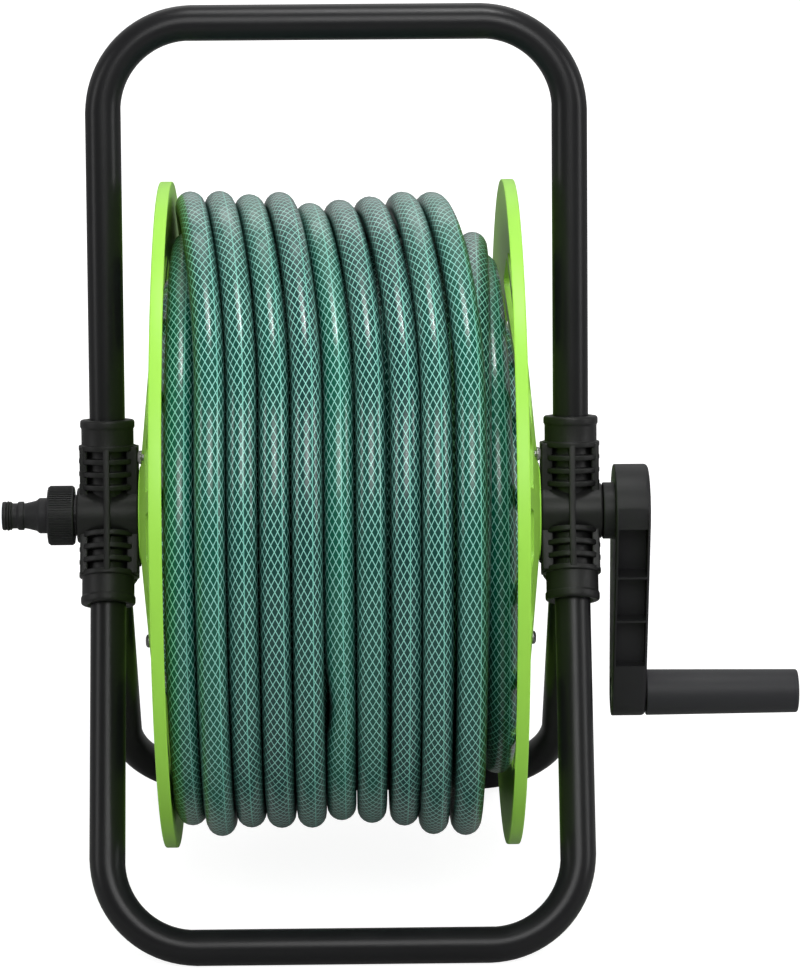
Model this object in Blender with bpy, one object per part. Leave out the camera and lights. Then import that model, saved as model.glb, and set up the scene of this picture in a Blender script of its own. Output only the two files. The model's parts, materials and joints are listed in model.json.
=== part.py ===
# Garden hose reel: a stand of three bent tubes, two ribbed brackets, and a dished
# drum on a hollow axle, with a crank, a water inlet and 1/2 inch hose wound on it.
# Metres, +Z up. The crank is at +X, the inlet at -X, and the user stands at -Y.
# The reel is modelled about the middle of its axle and stands on z = 0.
import math

import bmesh
import bpy
from mathutils import Matrix, Vector

# Stand of bent steel tube
TUBE_DIA = 0.019
TUBE_WALL = 0.0012
STAND_WIDTH = 0.248          # between the centres of the side tubes
BEND_RADIUS = 0.047
HANDLE_HEIGHT = 0.2545       # axle to the middle of the handle bar, upwards
FOOT_DROP = 0.200            # axle to the middle of the foot bars, downwards
HANDLE_LEAN = math.radians(13.5)
FRONT_LEAN = math.radians(30.4)
REAR_LEAN = math.radians(30.0)
TUBE_START = 0.0195          # axle to a tube's end, inside its socket

# Brackets that hold the tubes and the axle
RIB_DIA = 0.031
CORE_DIA = 0.0244
COLLAR_DIA = 0.028
COLLAR_ROUND = 0.0025
RIB_PITCH = 0.0069
RIB_WIDTH = 0.0034
RIB_COUNT = 4
HANDLE_FIRST_RIB = 0.0156
LEG_FIRST_RIB = 0.0120
HANDLE_SOCKET = 0.0514       # axle to the socket's mouth
LEG_SOCKET = 0.0490
SPINE_WIDTH = 0.0034
SPINE_RISE = 0.0004          # above the ribs
BOSS_DIA = 0.0296
BOSS_LENGTH = 0.033
BRACKET_SCREW = 0.0445       # axle to the screw through each collar
BRACKET_SCREW_END = 0.003    # how far its shank comes through the tube's wall
SCREW_DIA = 0.0036
SCREW_HEAD_DIA = 0.0072
SCREW_HEAD = 0.0022

# Clearances
SEAT_GAP = 0.0003            # between pieces that are fixed to each other
RUN_GAP = 0.0004             # between pieces that turn on each other

# Axle
AXLE_DIA = 0.022
WATER_BORE = 0.011
PLATE_DIA = 0.064
PLATE_THICK = 0.003
PLATE_SCREW_RING = 0.046
PLATE_SCREWS = 2
SPIGOT_DIA = 0.018
SPIGOT_LENGTH = 0.018
CRANK_SQUARE = 0.0145
CRANK_SQUARE_LENGTH = 0.0165

# Drum
FLANGE_DIA = 0.356
FLANGE_GAP = 0.1746          # between the flanges at their rims
FLANGE_SLOPE = 0.105         # how far the dish goes out for each unit inwards
FLANGE_WALL = 0.0032
RIM_WIDTH = 0.0067
RIM_WALL = 0.0031
RIM_ROUND = 0.0008
HUB_DIA = 0.052
HUB_FACE = 0.0004            # how far the hub's end stands out of the dish
HUB_SEAT_DIA = 0.068
WINDOWS = 16
WINDOW_INNER = 0.088         # radius where a window starts
WINDOW_OUTER = 0.138
SPOKE_WIDTH = 0.011
WINDOW_ROUND = 0.005
BARREL_DIA = 0.1512
BARREL_WALL = 0.0026
BARREL_LEDGE = 0.0045        # flat ledge on the dish, outside the barrel
BARREL_SCREWS = 3
BARREL_SCREW_TURN = math.radians(45)    # first screw, from the top towards the front
BARREL_BOSS_DIA = 0.010
BARREL_BOSS_LENGTH = 0.020
BARREL_SCREW_DEPTH = 0.014

# Water inlet
INLET_NUT_DIA = 0.032
INLET_NUT_WIDTH = 0.0141
INLET_NUT_GAP = 0.0016       # between the bracket and the nut
NUT_RIBS = 14
NUT_RIB_DEPTH = 0.0005
NIPPLE_LENGTH = 0.0246       # out of the nut
NIPPLE_BORE = 0.0092
THREAD_LENGTH = 0.0095
THREAD_STEP = 0.001          # how much the thread is smaller than the journal, in radius
NUT_HOLLOW = 0.9             # inside of the nut's ribbed shell, as a share of its radius
WASHER_THICK = 0.0016
ADAPTOR_COLLAR = 0.0050      # length and diameter of the collar in front of the nut
ADAPTOR_COLLAR_DIA = 0.0191
NIPPLE_DIA = 0.0154          # the nipple's lands
NIPPLE_WAIST_DIA = 0.0136
NIPPLE_CATCH = 0.0116        # tip to the land that a coupling catches on
NIPPLE_LAND = 0.0030
NIPPLE_EDGE = 0.0005
O_RING_PLACE = 0.0022        # tip to the ring's groove
O_RING_WIDTH = 0.0020
O_RING_THICK = 0.0015

# Crank
CRANK_HUB_DIA = 0.050
CRANK_END_DIA = 0.0252
CRANK_THROW = 0.105
CRANK_WIDTH = 0.0185
CRANK_NECK_DIA = 0.0304
CRANK_NECK_LENGTH = 0.0060
CRANK_PLATE = 0.0022         # side walls of the channel
CRANK_WEB = 0.003
CRANK_RIBS = 3
CRANK_RIB_WALL = 0.0024
CRANK_SCREW_DIA = 0.006
CRANK_SCREW_HEAD_DIA = 0.0116
CRANK_SCREW_HEAD = 0.0034
CRANK_SCREW_SUNK = 0.0016    # how deep its head lies in the arm
CRANK_WASHER_DIA = 0.015
CRANK_WASHER = 0.0012
GRIP_LENGTH = 0.0830
GRIP_DIA = 0.0250
GRIP_END_DIA = 0.0236
GRIP_ROUND = 0.003
GRIP_EDGE = 0.0006
GRIP_BOLT_DIA = 0.012
GRIP_BOLT_HEAD_DIA = 0.0160
GRIP_BOLT_HEAD = 0.0045
GRIP_BOLT_RECESS = 0.0065
GRIP_NUT_DIA = 0.0185        # across the corners
GRIP_NUT = 0.0055
GRIP_NUT_SUNK = 0.0006
NUT_POCKET_SPARE = 0.001
EDGE_CHAMFER = 0.001         # on the bolt's head and the coupling's rims

# Hose
HOSE_DIA = 0.0156
HOSE_PITCH = 0.0162
HOSE_TURNS = 10              # turns of the outer layer
HOSE_FIRST = -0.0802         # place of its first turn along the axle
HOSE_RADIUS = 0.1622         # axle to the middle of the hose, outer layer
HOSE_UNDER = 0.0190          # how much deeper the turn below the first one lies
HOSE_SIDE_TURN = (0.0775, 0.1422)   # place and radius of the first turn of the layer below
HOSE_DEEP_TURN = (0.0843, 0.1308)   # and of the layer below that
HOSE_END_X = 0.0760          # where the free end lies, along the axle
TURN_POINTS = 24
CROSS_START = math.radians(-36)     # a turn crosses one pitch over the top and front
CROSS_END = math.radians(88)
CLIMB_START = math.radians(12)
CLIMB_END = math.radians(102)
UNDER_START = math.radians(-240)
DRIFT_START = math.radians(180)     # behind, the last turn drifts to where the free end lies
DRIFT_END = math.radians(235)
TAIL_START = math.radians(205)
COUPLING_DIA = 0.024
COUPLING_NUT_LENGTH = 0.016
COUPLING_LENGTH = 0.030
COUPLING_MOUTH = 0.0170
COUPLING_MOUTH_DEPTH = 0.019
COUPLING_BORE = 0.009
COUPLING_GROOVE = 0.002      # depth of the groove between nut and body
COUPLING_WAIST = 0.0012      # how far the body draws in at its middle
COUPLING_NUT_BORE = 0.0176
ELBOW_RISE = 0.040           # axle to the end of the elbow's leg
ELBOW_PLACE = 0.0151         # from the crank axle's plate to the middle of the leg
ELBOW_BEND = 0.014
ELBOW_LEG_DIA = 0.0150
ELBOW_LEG_BORE = 0.0088
OUTLET_GAP = 0.001           # round the hose where it comes through the barrel
OUTLET_PIPE_DIA = 0.0160
OUTLET_CUP_WALL = 0.0022     # cup on the inlet axle's spigot
OUTLET_CUP_DEPTH = 0.013
OUTLET_CUP_TAPER = 0.003
CLIP_WIDTH = 0.008
CLIP_WALL = 0.0012

# What a boolean leaves: corners closer than this are one, triangles smaller than this are flat
MERGE_DISTANCE = 1e-6
SLIVER_AREA = 1e-11

# Sides of the round pieces
TUBE_SIDES = 12
BEND_STEPS = 5
ROUND_SIDES = 16
BRACKET_SIDES = 12
SCREW_SIDES = 6
FLANGE_SIDES = 36
BARREL_SIDES = 24
CORE_SIDES = 32

# Places that follow from the sizes above
side = STAND_WIDTH / 2
tubeRadius = TUBE_DIA / 2
axleRadius = AXLE_DIA / 2
threadRadius = axleRadius - THREAD_STEP
boreRadius = axleRadius + RUN_GAP
rimFace = FLANGE_GAP / 2
flangeRadius = FLANGE_DIA / 2
hoseR = HOSE_DIA / 2
bossOuter = side + BOSS_LENGTH / 2
bossInner = side - BOSS_LENGTH / 2


def dishInside(radius):
    """Distance from the reel's middle to the inside of a flange's dish."""
    return rimFace + FLANGE_SLOPE * (flangeRadius - radius)


hubSeat = dishInside(HUB_SEAT_DIA / 2)
hubEnd = dishInside(HUB_DIA / 2) + FLANGE_WALL + HUB_FACE
barrelEnd = dishInside(BARREL_DIA / 2 + BARREL_LEDGE)
plateInner = hubSeat - SEAT_GAP - PLATE_THICK
nutInner = bossOuter + INLET_NUT_GAP
nutOuter = nutInner + INLET_NUT_WIDTH
inletTip = nutOuter + NIPPLE_LENGTH
neckStart = bossOuter + RUN_GAP
armInner = neckStart + CRANK_NECK_LENGTH
armOuter = armInner + CRANK_WIDTH
gripStart = armOuter + RUN_GAP
gripEnd = gripStart + GRIP_LENGTH
footFacet = tubeRadius * math.cos(math.pi / TUBE_SIDES)
axleHeight = FOOT_DROP + footFacet
axleMiddle = Vector(((inletTip - gripEnd) / 2, 0, axleHeight))

for old in list(bpy.data.objects):
    bpy.data.objects.remove(old, do_unlink=True)


def material(name, colour, roughness, metallic=0.0):
    made = bpy.data.materials.new(name)
    made.use_nodes = True
    shader = made.node_tree.nodes["Principled BSDF"]
    shader.inputs["Base Color"].default_value = (*colour, 1)
    shader.inputs["Roughness"].default_value = roughness
    shader.inputs["Metallic"].default_value = metallic
    made.diffuse_color = (*colour, 1)
    return made


powderCoat = material("black_powder_coat", (0.022, 0.022, 0.024), 0.42)
blackPlastic = material("black_plastic", (0.018, 0.018, 0.018), 0.55)
gripPlastic = material("grip_plastic", (0.035, 0.035, 0.038), 0.6)
limePlastic = material("lime_plastic", (0.36, 0.76, 0.08), 0.35)
hoseGreen = material("hose_green", (0.02, 0.16, 0.12), 0.3)
zincSteel = material("zinc_steel", (0.62, 0.62, 0.60), 0.35, 1.0)
sealRubber = material("seal_rubber", (0.015, 0.015, 0.015), 0.7)


def empty(name, place, parent=None):
    made = bpy.data.objects.new(name, None)
    bpy.context.collection.objects.link(made)
    made.parent = parent
    made.location = place
    return made


standAxis = empty("stand_axis", axleMiddle)
drumAxis = empty("drum_axis", (0, 0, 0), standAxis)
gripAxis = empty("grip_axis", (0, 0, -CRANK_THROW), drumAxis)


def addObject(name, mesh, finish, parent, place=(0, 0, 0)):
    made = bpy.data.objects.new(name, mesh)
    bpy.context.collection.objects.link(made)
    made.parent = parent
    made.location = place
    mesh.materials.clear()
    mesh.materials.append(finish)
    mesh.shade_smooth()
    mesh.set_sharp_from_angle(angle=math.radians(35))
    return made


def addNumbered(name, meshes, parent):
    """Screws of one kind, each its own object."""
    for index, mesh in enumerate(meshes, 1):
        addObject(f"{name}_{index}", mesh, zincSteel, parent)


def meshOf(bm):
    bmesh.ops.recalc_face_normals(bm, faces=bm.faces)
    mesh = bpy.data.meshes.new("shape")
    bm.to_mesh(mesh)
    bm.free()
    return mesh


def around(radius, sides=ROUND_SIDES):
    """Corner radius of a polygon whose flats lie at the given radius."""
    return radius / math.cos(math.pi / sides)


def turned(profile, sides=ROUND_SIDES, phase=0.0):
    """Closed solid turned about X from (x, radius) points in order round the section."""
    bm = bmesh.new()
    start = Matrix.Rotation(phase, 3, "X")
    corners = [bm.verts.new(start @ Vector((x, 0, radius))) for x, radius in profile]
    edges = [bm.edges.new((a, b)) for a, b in zip(corners, corners[1:])]
    if min(radius for x, radius in profile) > 0:
        edges.append(bm.edges.new((corners[-1], corners[0])))
    bmesh.ops.spin(bm, geom=corners + edges, axis=(1, 0, 0), cent=(0, 0, 0),
                   angle=math.tau, steps=sides, use_merge=True)
    bmesh.ops.remove_doubles(bm, verts=bm.verts, dist=1e-7)
    return meshOf(bm)


def rod(start, end, radius, sides=ROUND_SIDES, phase=0.0):
    """Plain cylinder along X."""
    return turned([(start, 0), (start, radius), (end, radius), (end, 0)], sides, phase)


def extruded(outline, start, end):
    """Prism along X from (y, z) points."""
    bm = bmesh.new()
    face = bm.faces.new([bm.verts.new((start, y, z)) for y, z in outline])
    made = bmesh.ops.extrude_face_region(bm, geom=[face])
    moved = [item for item in made["geom"] if isinstance(item, bmesh.types.BMVert)]
    bmesh.ops.translate(bm, verts=moved, vec=(end - start, 0, 0))
    return meshOf(bm)


def box(low, high):
    bm = bmesh.new()
    size = Vector(high) - Vector(low)
    middle = (Vector(high) + Vector(low)) / 2
    bmesh.ops.create_cube(bm, size=1, matrix=Matrix.Translation(middle) @ Matrix.Diagonal((*size, 1)))
    return meshOf(bm)


def moved(mesh, matrix):
    mesh.transform(matrix)
    if matrix.determinant() < 0:
        mesh.flip_normals()
    return mesh


def joined(meshes):
    """One mesh that holds several separate solids."""
    bm = bmesh.new()
    for mesh in meshes:
        bm.from_mesh(mesh)
    return meshOf(bm)


def combined(base, steps):
    """Boolean each (operation, mesh) in turn into base and return the resulting mesh."""
    piece = bpy.data.objects.new("work", base)
    bpy.context.collection.objects.link(piece)
    tools = []
    for operation, mesh in steps:
        tool = bpy.data.objects.new("tool", mesh)
        bpy.context.collection.objects.link(tool)
        tools.append(tool)
        step = piece.modifiers.new("step", "BOOLEAN")
        step.operation = operation
        step.solver = "EXACT"
        step.object = tool
    graph = bpy.context.evaluated_depsgraph_get()
    result = bpy.data.meshes.new_from_object(piece.evaluated_get(graph))
    for used in tools + [piece]:
        bpy.data.objects.remove(used, do_unlink=True)
    bm = bmesh.new()
    bm.from_mesh(result)
    bmesh.ops.remove_doubles(bm, verts=bm.verts, dist=MERGE_DISTANCE)
    bmesh.ops.dissolve_degenerate(bm, dist=MERGE_DISTANCE, edges=bm.edges)
    bmesh.ops.dissolve_verts(bm, verts=[vert for vert in bm.verts if len(vert.link_edges) == 2])
    bmesh.ops.triangulate(bm, faces=bm.faces)
    turnSlivers(bm)
    return meshOf(bm)


def turnSlivers(bm):
    """Clears triangles without area: the long edge turns to the middle corner, or goes between two."""
    def flat():
        return [face for face in bm.faces if face.calc_area() < SLIVER_AREA]

    for attempt in range(len(flat())):
        slivers = flat()
        if not slivers:
            break
        longest = max(slivers[0].edges, key=lambda edge: edge.calc_length())
        first, second = longest.link_faces
        if set(first.verts) == set(second.verts):
            bmesh.ops.delete(bm, geom=[longest], context="EDGES")
        else:
            bmesh.utils.edge_rotate(longest)


# Stand: each tube is a U in a plane that holds the axle and leans by its own angle
def leanMatrix(lean, downwards):
    """Turns +Z, the way from the axle to a bar, to a handle's or a leg's direction."""
    if downwards:
        return Matrix.Rotation(math.pi - lean, 4, "X")
    return Matrix.Rotation(-lean, 4, "X")


def uPath(reach):
    arc = [math.pi / 2 * i / BEND_STEPS for i in range(BEND_STEPS + 1)]
    across = side - BEND_RADIUS
    along = reach - BEND_RADIUS
    left = [(-across - BEND_RADIUS * math.cos(a), along + BEND_RADIUS * math.sin(a)) for a in arc]
    right = [(-x, z) for x, z in reversed(left)]
    return [(-side, TUBE_START)] + left + right + [(side, TUBE_START)]


def bridged(bm, ring, following):
    for step in range(len(ring)):
        after = (step + 1) % len(ring)
        bm.faces.new((ring[step], ring[after], following[after], following[step]))


def sweptRings(bm, path, facet):
    """Skin along (x, z, radius) points, with the middle of one flat turned by facet from outwards."""
    places = [Vector((x, 0, z)) for x, z, radius in path]
    rings = []
    for index, (x, z, radius) in enumerate(path):
        before, after = places[max(index - 1, 0)], places[min(index + 1, len(path) - 1)]
        heading = (after - before).normalized()
        outwards = Vector((-heading.z, 0, heading.x))
        ring = []
        for step in range(TUBE_SIDES):
            angle = facet + math.tau * (step + 0.5) / TUBE_SIDES
            offset = outwards * math.cos(angle) + Vector((0, 1, 0)) * math.sin(angle)
            ring.append(bm.verts.new(places[index] + offset * radius))
        rings.append(ring)
    for ring, following in zip(rings, rings[1:]):
        bridged(bm, ring, following)
    return rings


def hollowSweep(outerPath, innerPath, facet=0.0):
    """Hollow tube in the XZ plane between an outer and an inner skin, open at both ends."""
    bm = bmesh.new()
    outer, inner = sweptRings(bm, outerPath, facet), sweptRings(bm, innerPath, facet)
    for end in (0, -1):
        bridged(bm, outer[end], inner[end])
    return meshOf(bm)


def bentTube(reach, facet):
    skins = [[(x, z, radius) for x, z in uPath(reach)] for radius in (tubeRadius, tubeRadius - TUBE_WALL)]
    return hollowSweep(*skins, facet)


# For each tube: name, lean, whether it goes down, height of its bar from the axle, socket depth,
# first rib, and whether its screws go in from the +Y side of its own plane
tubes = [
    ("handle_tube", HANDLE_LEAN, False, HANDLE_HEIGHT, HANDLE_SOCKET, HANDLE_FIRST_RIB, 1),
    ("front_leg_tube", FRONT_LEAN, True, FOOT_DROP, LEG_SOCKET, LEG_FIRST_RIB, -1),
    ("rear_leg_tube", -REAR_LEAN, True, FOOT_DROP, LEG_SOCKET, LEG_FIRST_RIB, -1),
]


def acrossTube(mesh, along, back):
    """Puts a piece made along X across a tube at a distance along it, from its back."""
    turn = Matrix.Rotation(math.pi / 2 * back, 4, "Z")
    return moved(mesh, Matrix.Translation((0, 0, along)) @ turn)


screwHole = SCREW_DIA / 2 + SEAT_GAP

for name, lean, down, height, socket, firstRib, back in tubes:
    shape = bentTube(height / math.cos(lean), -lean if down else 0.0)
    holes = []
    for x in (-side, side):
        hole = acrossTube(rod(0, TUBE_DIA, around(screwHole, SCREW_SIDES), SCREW_SIDES), BRACKET_SCREW, back)
        holes.append(("DIFFERENCE", moved(hole, Matrix.Translation((x, 0, 0)))))
    shape = combined(shape, holes)
    addObject(name, moved(shape, leanMatrix(lean, down)), powderCoat, standAxis)


# Brackets
upright = Matrix.Rotation(-math.pi / 2, 4, "Y")     # stands a piece made along X up along Z


def socketBody(socket, firstRib):
    """Ribbed outside of one socket, along +Z from the axle."""
    core, rib, collar = CORE_DIA / 2, RIB_DIA / 2, COLLAR_DIA / 2
    profile = [(0, 0), (0, core)]
    for index in range(RIB_COUNT):
        middle = firstRib + index * RIB_PITCH
        low, high = middle - RIB_WIDTH / 2, middle + RIB_WIDTH / 2
        profile += [(low, core), (low, rib), (high, rib)]
        profile.append((high, collar if index == RIB_COUNT - 1 else core))
    profile += [(socket - COLLAR_ROUND, collar), (socket - COLLAR_ROUND * 0.3, collar - COLLAR_ROUND * 0.3)]
    profile += [(socket, collar - COLLAR_ROUND), (socket, 0)]
    return moved(turned(profile, BRACKET_SIDES, math.pi / BRACKET_SIDES), upright)


def threeArms(halfWidth, halfThick):
    """Flat three-armed star in the plane of the three sockets, up to each one's last rib."""
    arms = []
    for name, lean, down, height, socket, firstRib, back in tubes:
        way = leanMatrix(lean, down) @ Vector((0, 0, 1))
        arms.append((math.atan2(way.y, way.z) % math.tau, firstRib + (RIB_COUNT - 1) * RIB_PITCH))
    arms.sort()
    outline = []
    for index, (angle, length) in enumerate(arms):
        following = arms[(index + 1) % len(arms)][0]
        between = ((following - angle) % math.tau) / 2
        along = Vector((math.sin(angle), math.cos(angle))) * length
        across = Vector((math.cos(angle), -math.sin(angle))) * halfWidth
        corner = Vector((math.sin(angle + between), math.cos(angle + between)))
        corner *= halfWidth / math.sin(between)
        outline += [tuple(along - across), tuple(along + across), tuple(corner)]
    return extruded(outline, -halfThick, halfThick)


def bracketMesh():
    """The whole bracket about the axle, with its boss along X."""
    socketRadius, phase = around(tubeRadius + SEAT_GAP, BRACKET_SIDES), math.pi / BRACKET_SIDES
    shape = rod(-BOSS_LENGTH / 2, BOSS_LENGTH / 2, BOSS_DIA / 2, ROUND_SIDES, math.pi / ROUND_SIDES)
    unions, bores, holes = [], [], []
    for name, lean, down, height, socket, firstRib, back in tubes:
        pose = leanMatrix(lean, down)
        unions.append(("UNION", moved(socketBody(socket, firstRib), pose)))
        bore = rod(TUBE_START - SEAT_GAP, socket + TUBE_DIA, socketRadius, BRACKET_SIDES, phase)
        hole = acrossTube(rod(0, TUBE_DIA, around(screwHole, SCREW_SIDES), SCREW_SIDES), BRACKET_SCREW, back)
        bores.append(moved(bore, pose @ upright))
        holes.append(moved(hole, pose))
    unions.append(("UNION", threeArms(RIB_DIA / 2 + SPINE_RISE, SPINE_WIDTH / 2)))
    cuts = (joined(bores), joined(holes), rod(-BOSS_LENGTH, BOSS_LENGTH, around(boreRadius)))
    return combined(shape, unions + [("DIFFERENCE", tool) for tool in cuts])


bracket = bracketMesh()
addObject("left_bracket", bracket, blackPlastic, standAxis, (-side, 0, 0))
addObject("right_bracket", bracket, blackPlastic, standAxis, (side, 0, 0))


def panScrew(dia, length, headDia, head, sides=SCREW_SIDES):
    """Screw along +X with the underside of its pan head at 0."""
    return turned([(-length, 0), (-length, dia / 2), (0, dia / 2), (0, headDia / 2), (head, headDia * 0.42),
                   (head, 0)], sides)


screws = []
for name, lean, down, height, socket, firstRib, back in tubes:
    for x in (-side, side):
        length = COLLAR_DIA / 2 + SEAT_GAP - (tubeRadius - TUBE_WALL) + BRACKET_SCREW_END
        screw = panScrew(SCREW_DIA, length, SCREW_HEAD_DIA, SCREW_HEAD)
        screw = moved(screw, Matrix.Translation((COLLAR_DIA / 2 + SEAT_GAP, 0, 0)))
        screw = acrossTube(screw, BRACKET_SCREW, back)
        screws.append(moved(screw, Matrix.Translation((x, 0, 0)) @ leanMatrix(lean, down)))
addNumbered("bracket_screw", screws, standAxis)


# Drum. Pieces that come in pairs are made for the right-hand side and mirrored for the left
mirror = Matrix.Scale(-1, 4, (1, 0, 0))


def windowOutline():
    """Corners of one flange window, with parallel spokes beside it and its outer corners cut."""
    step = math.pi / WINDOWS
    spoke = SPOKE_WIDTH / 2 / math.cos(step)
    low, high = WINDOW_INNER * math.tan(step) - spoke, WINDOW_OUTER * math.tan(step) - spoke
    shoulder = WINDOW_OUTER - WINDOW_ROUND
    return [(-low, WINDOW_INNER), (low, WINDOW_INNER), (high, shoulder), (high - WINDOW_ROUND, WINDOW_OUTER),
            (-high + WINDOW_ROUND, WINDOW_OUTER), (-high, shoulder)]


def flangeMesh():
    rim, lip = rimFace, rimFace + RIM_WIDTH
    lipInner = flangeRadius - RIM_WALL
    ledgeRadius = BARREL_DIA / 2 + BARREL_LEDGE
    ledgeInner = BARREL_DIA / 2 - BARREL_WALL - SEAT_GAP
    profile = [
        (hubEnd, boreRadius), (hubEnd, HUB_DIA / 2), (hubEnd - HUB_FACE, HUB_DIA / 2 + HUB_FACE),
        (dishInside(lipInner) + FLANGE_WALL, lipInner), (lip, lipInner), (lip, flangeRadius - RIM_ROUND),
        (lip - RIM_ROUND, flangeRadius), (rim + RIM_ROUND, flangeRadius), (rim, flangeRadius - RIM_ROUND),
        (barrelEnd, ledgeRadius), (barrelEnd, ledgeInner), (dishInside(ledgeInner), ledgeInner),
        (hubSeat, HUB_SEAT_DIA / 2), (hubSeat, boreRadius),
    ]
    shape = turned(profile, FLANGE_SIDES)
    windows = []
    for index in range(WINDOWS):
        window = extruded(windowOutline(), rimFace, hubEnd + RIM_WIDTH)
        windows.append(moved(window, Matrix.Rotation(math.tau * (index + 0.5) / WINDOWS, 4, "X")))
    holes = screwTools(around(screwHole, SCREW_SIDES), SCREW_SIDES)
    return combined(shape, [("DIFFERENCE", joined(windows)), ("DIFFERENCE", joined(holes))])


barrelScrewRadius = BARREL_DIA / 2 - BARREL_WALL - BARREL_BOSS_DIA / 2
barrelScrewFace = dishInside(barrelScrewRadius) + FLANGE_WALL + FLANGE_SLOPE * SCREW_HEAD_DIA / 2 + SEAT_GAP


def onRing(mesh, radius, count, phase=0.0):
    """Copies of a mesh made along X, set round the axle."""
    places = [(phase + math.tau * index / count) for index in range(count)]
    return [moved(mesh.copy(), Matrix.Rotation(angle, 4, "X") @ Matrix.Translation((0, 0, radius)))
            for angle in places]


def screwTools(radius, sides):
    """Holes for the barrel's and the axle plate's screws, right through the flange."""
    through = rod(rimFace, hubEnd + RIM_WIDTH, radius, sides)
    tools = onRing(through, barrelScrewRadius, BARREL_SCREWS, BARREL_SCREW_TURN)
    return tools + onRing(through, PLATE_SCREW_RING / 2, PLATE_SCREWS)


flange = flangeMesh()
addObject("right_flange", flange, limePlastic, drumAxis)
addObject("left_flange", moved(flange.copy(), mirror), limePlastic, drumAxis)


def barrelMesh():
    outer = BARREL_DIA / 2
    inner = outer - BARREL_WALL
    end = barrelEnd - SEAT_GAP
    shape = turned([(-end, inner), (-end, outer), (end, outer), (end, inner)], BARREL_SIDES)
    bossRadius, holeRadius = BARREL_BOSS_DIA / 2 + BARREL_WALL / 4, around(screwHole, SCREW_SIDES)
    boss = rod(end - BARREL_BOSS_LENGTH, end - SEAT_GAP, bossRadius, 8, math.pi / 8)
    pilot = rod(end - BARREL_SCREW_DEPTH - SEAT_GAP, end + SEAT_GAP, holeRadius, SCREW_SIDES)
    both = []
    for tool in (boss, pilot):
        tools = onRing(tool, barrelScrewRadius, BARREL_SCREWS, BARREL_SCREW_TURN)
        both.append(joined(tools + [moved(tool.copy(), mirror) for tool in tools]))
    outlet = rod(0, outer * 2, around(hoseR + OUTLET_GAP, 12), 12)
    outlet = moved(outlet, Matrix.Translation((outletX, 0, 0)) @ upright)
    return combined(shape, [("UNION", both[0]), ("DIFFERENCE", both[1]), ("DIFFERENCE", outlet)])


outletX = plateInner - ELBOW_PLACE
addObject("drum_barrel", barrelMesh(), limePlastic, drumAxis)

flangeScrews = []
shank = barrelScrewFace - (barrelEnd - SEAT_GAP - BARREL_SCREW_DEPTH)
screw = panScrew(SCREW_DIA, shank, SCREW_HEAD_DIA, SCREW_HEAD)
screw = moved(screw, Matrix.Translation((barrelScrewFace, 0, 0)))
for piece in onRing(screw, barrelScrewRadius, BARREL_SCREWS, BARREL_SCREW_TURN):
    flangeScrews += [piece, moved(piece.copy(), mirror)]
addNumbered("flange_screw", flangeScrews, drumAxis)

plateScrews = []
plateScrewLength = PLATE_THICK + FLANGE_WALL + 0.0005
screw = panScrew(SCREW_DIA, plateScrewLength, SCREW_HEAD_DIA, SCREW_HEAD)
screw = moved(screw, Matrix.Translation((plateInner - SEAT_GAP, 0, 0)) @ Matrix.Rotation(math.pi, 4, "Z"))
for piece in onRing(screw, PLATE_SCREW_RING / 2, PLATE_SCREWS):
    plateScrews += [piece, moved(piece.copy(), mirror)]
addNumbered("plate_screw", plateScrews, drumAxis)


def plateHoles():
    holeRadius = around(screwHole, SCREW_SIDES)
    through = rod(plateInner - PLATE_THICK, hubSeat + PLATE_THICK, holeRadius, SCREW_SIDES)
    return joined(onRing(through, PLATE_SCREW_RING / 2, PLATE_SCREWS))


# Inlet axle: plate, journal and thread in one moulding, with the water bore through it
def inletAxleMesh():
    water = WATER_BORE / 2
    spigotEnd = plateInner - SPIGOT_LENGTH
    journalEnd = nutInner - SEAT_GAP
    threadEnd = nutInner + THREAD_LENGTH
    profile = [
        (spigotEnd, water), (spigotEnd, SPIGOT_DIA / 2), (plateInner, SPIGOT_DIA / 2),
        (plateInner, PLATE_DIA / 2), (hubSeat - SEAT_GAP, PLATE_DIA / 2),
        (hubSeat - SEAT_GAP, axleRadius), (journalEnd, axleRadius),
        (journalEnd, threadRadius), (threadEnd, threadRadius), (threadEnd, water),
    ]
    return moved(combined(turned(profile), [("DIFFERENCE", plateHoles())]), mirror)


addObject("inlet_axle", inletAxleMesh(), blackPlastic, drumAxis)


crankScrewHole = around(CRANK_SCREW_DIA / 2 + SEAT_GAP, SCREW_SIDES)


# Crank axle: plate and journal, with a square end for the crank
def crankAxleMesh():
    journalEnd = bossOuter
    squareEnd = journalEnd + CRANK_SQUARE_LENGTH
    half = CRANK_SQUARE / 2
    profile = [(plateInner, 0), (plateInner, PLATE_DIA / 2), (hubSeat - SEAT_GAP, PLATE_DIA / 2),
               (hubSeat - SEAT_GAP, axleRadius), (journalEnd, axleRadius), (journalEnd, 0)]
    square = box((journalEnd - PLATE_THICK, -half, -half), (squareEnd, half, half))
    pilot = rod(journalEnd, squareEnd + SEAT_GAP, crankScrewHole, SCREW_SIDES)
    return combined(turned(profile), [("UNION", square), ("DIFFERENCE", pilot), ("DIFFERENCE", plateHoles())])


addObject("crank_axle", crankAxleMesh(), blackPlastic, drumAxis)


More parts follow.
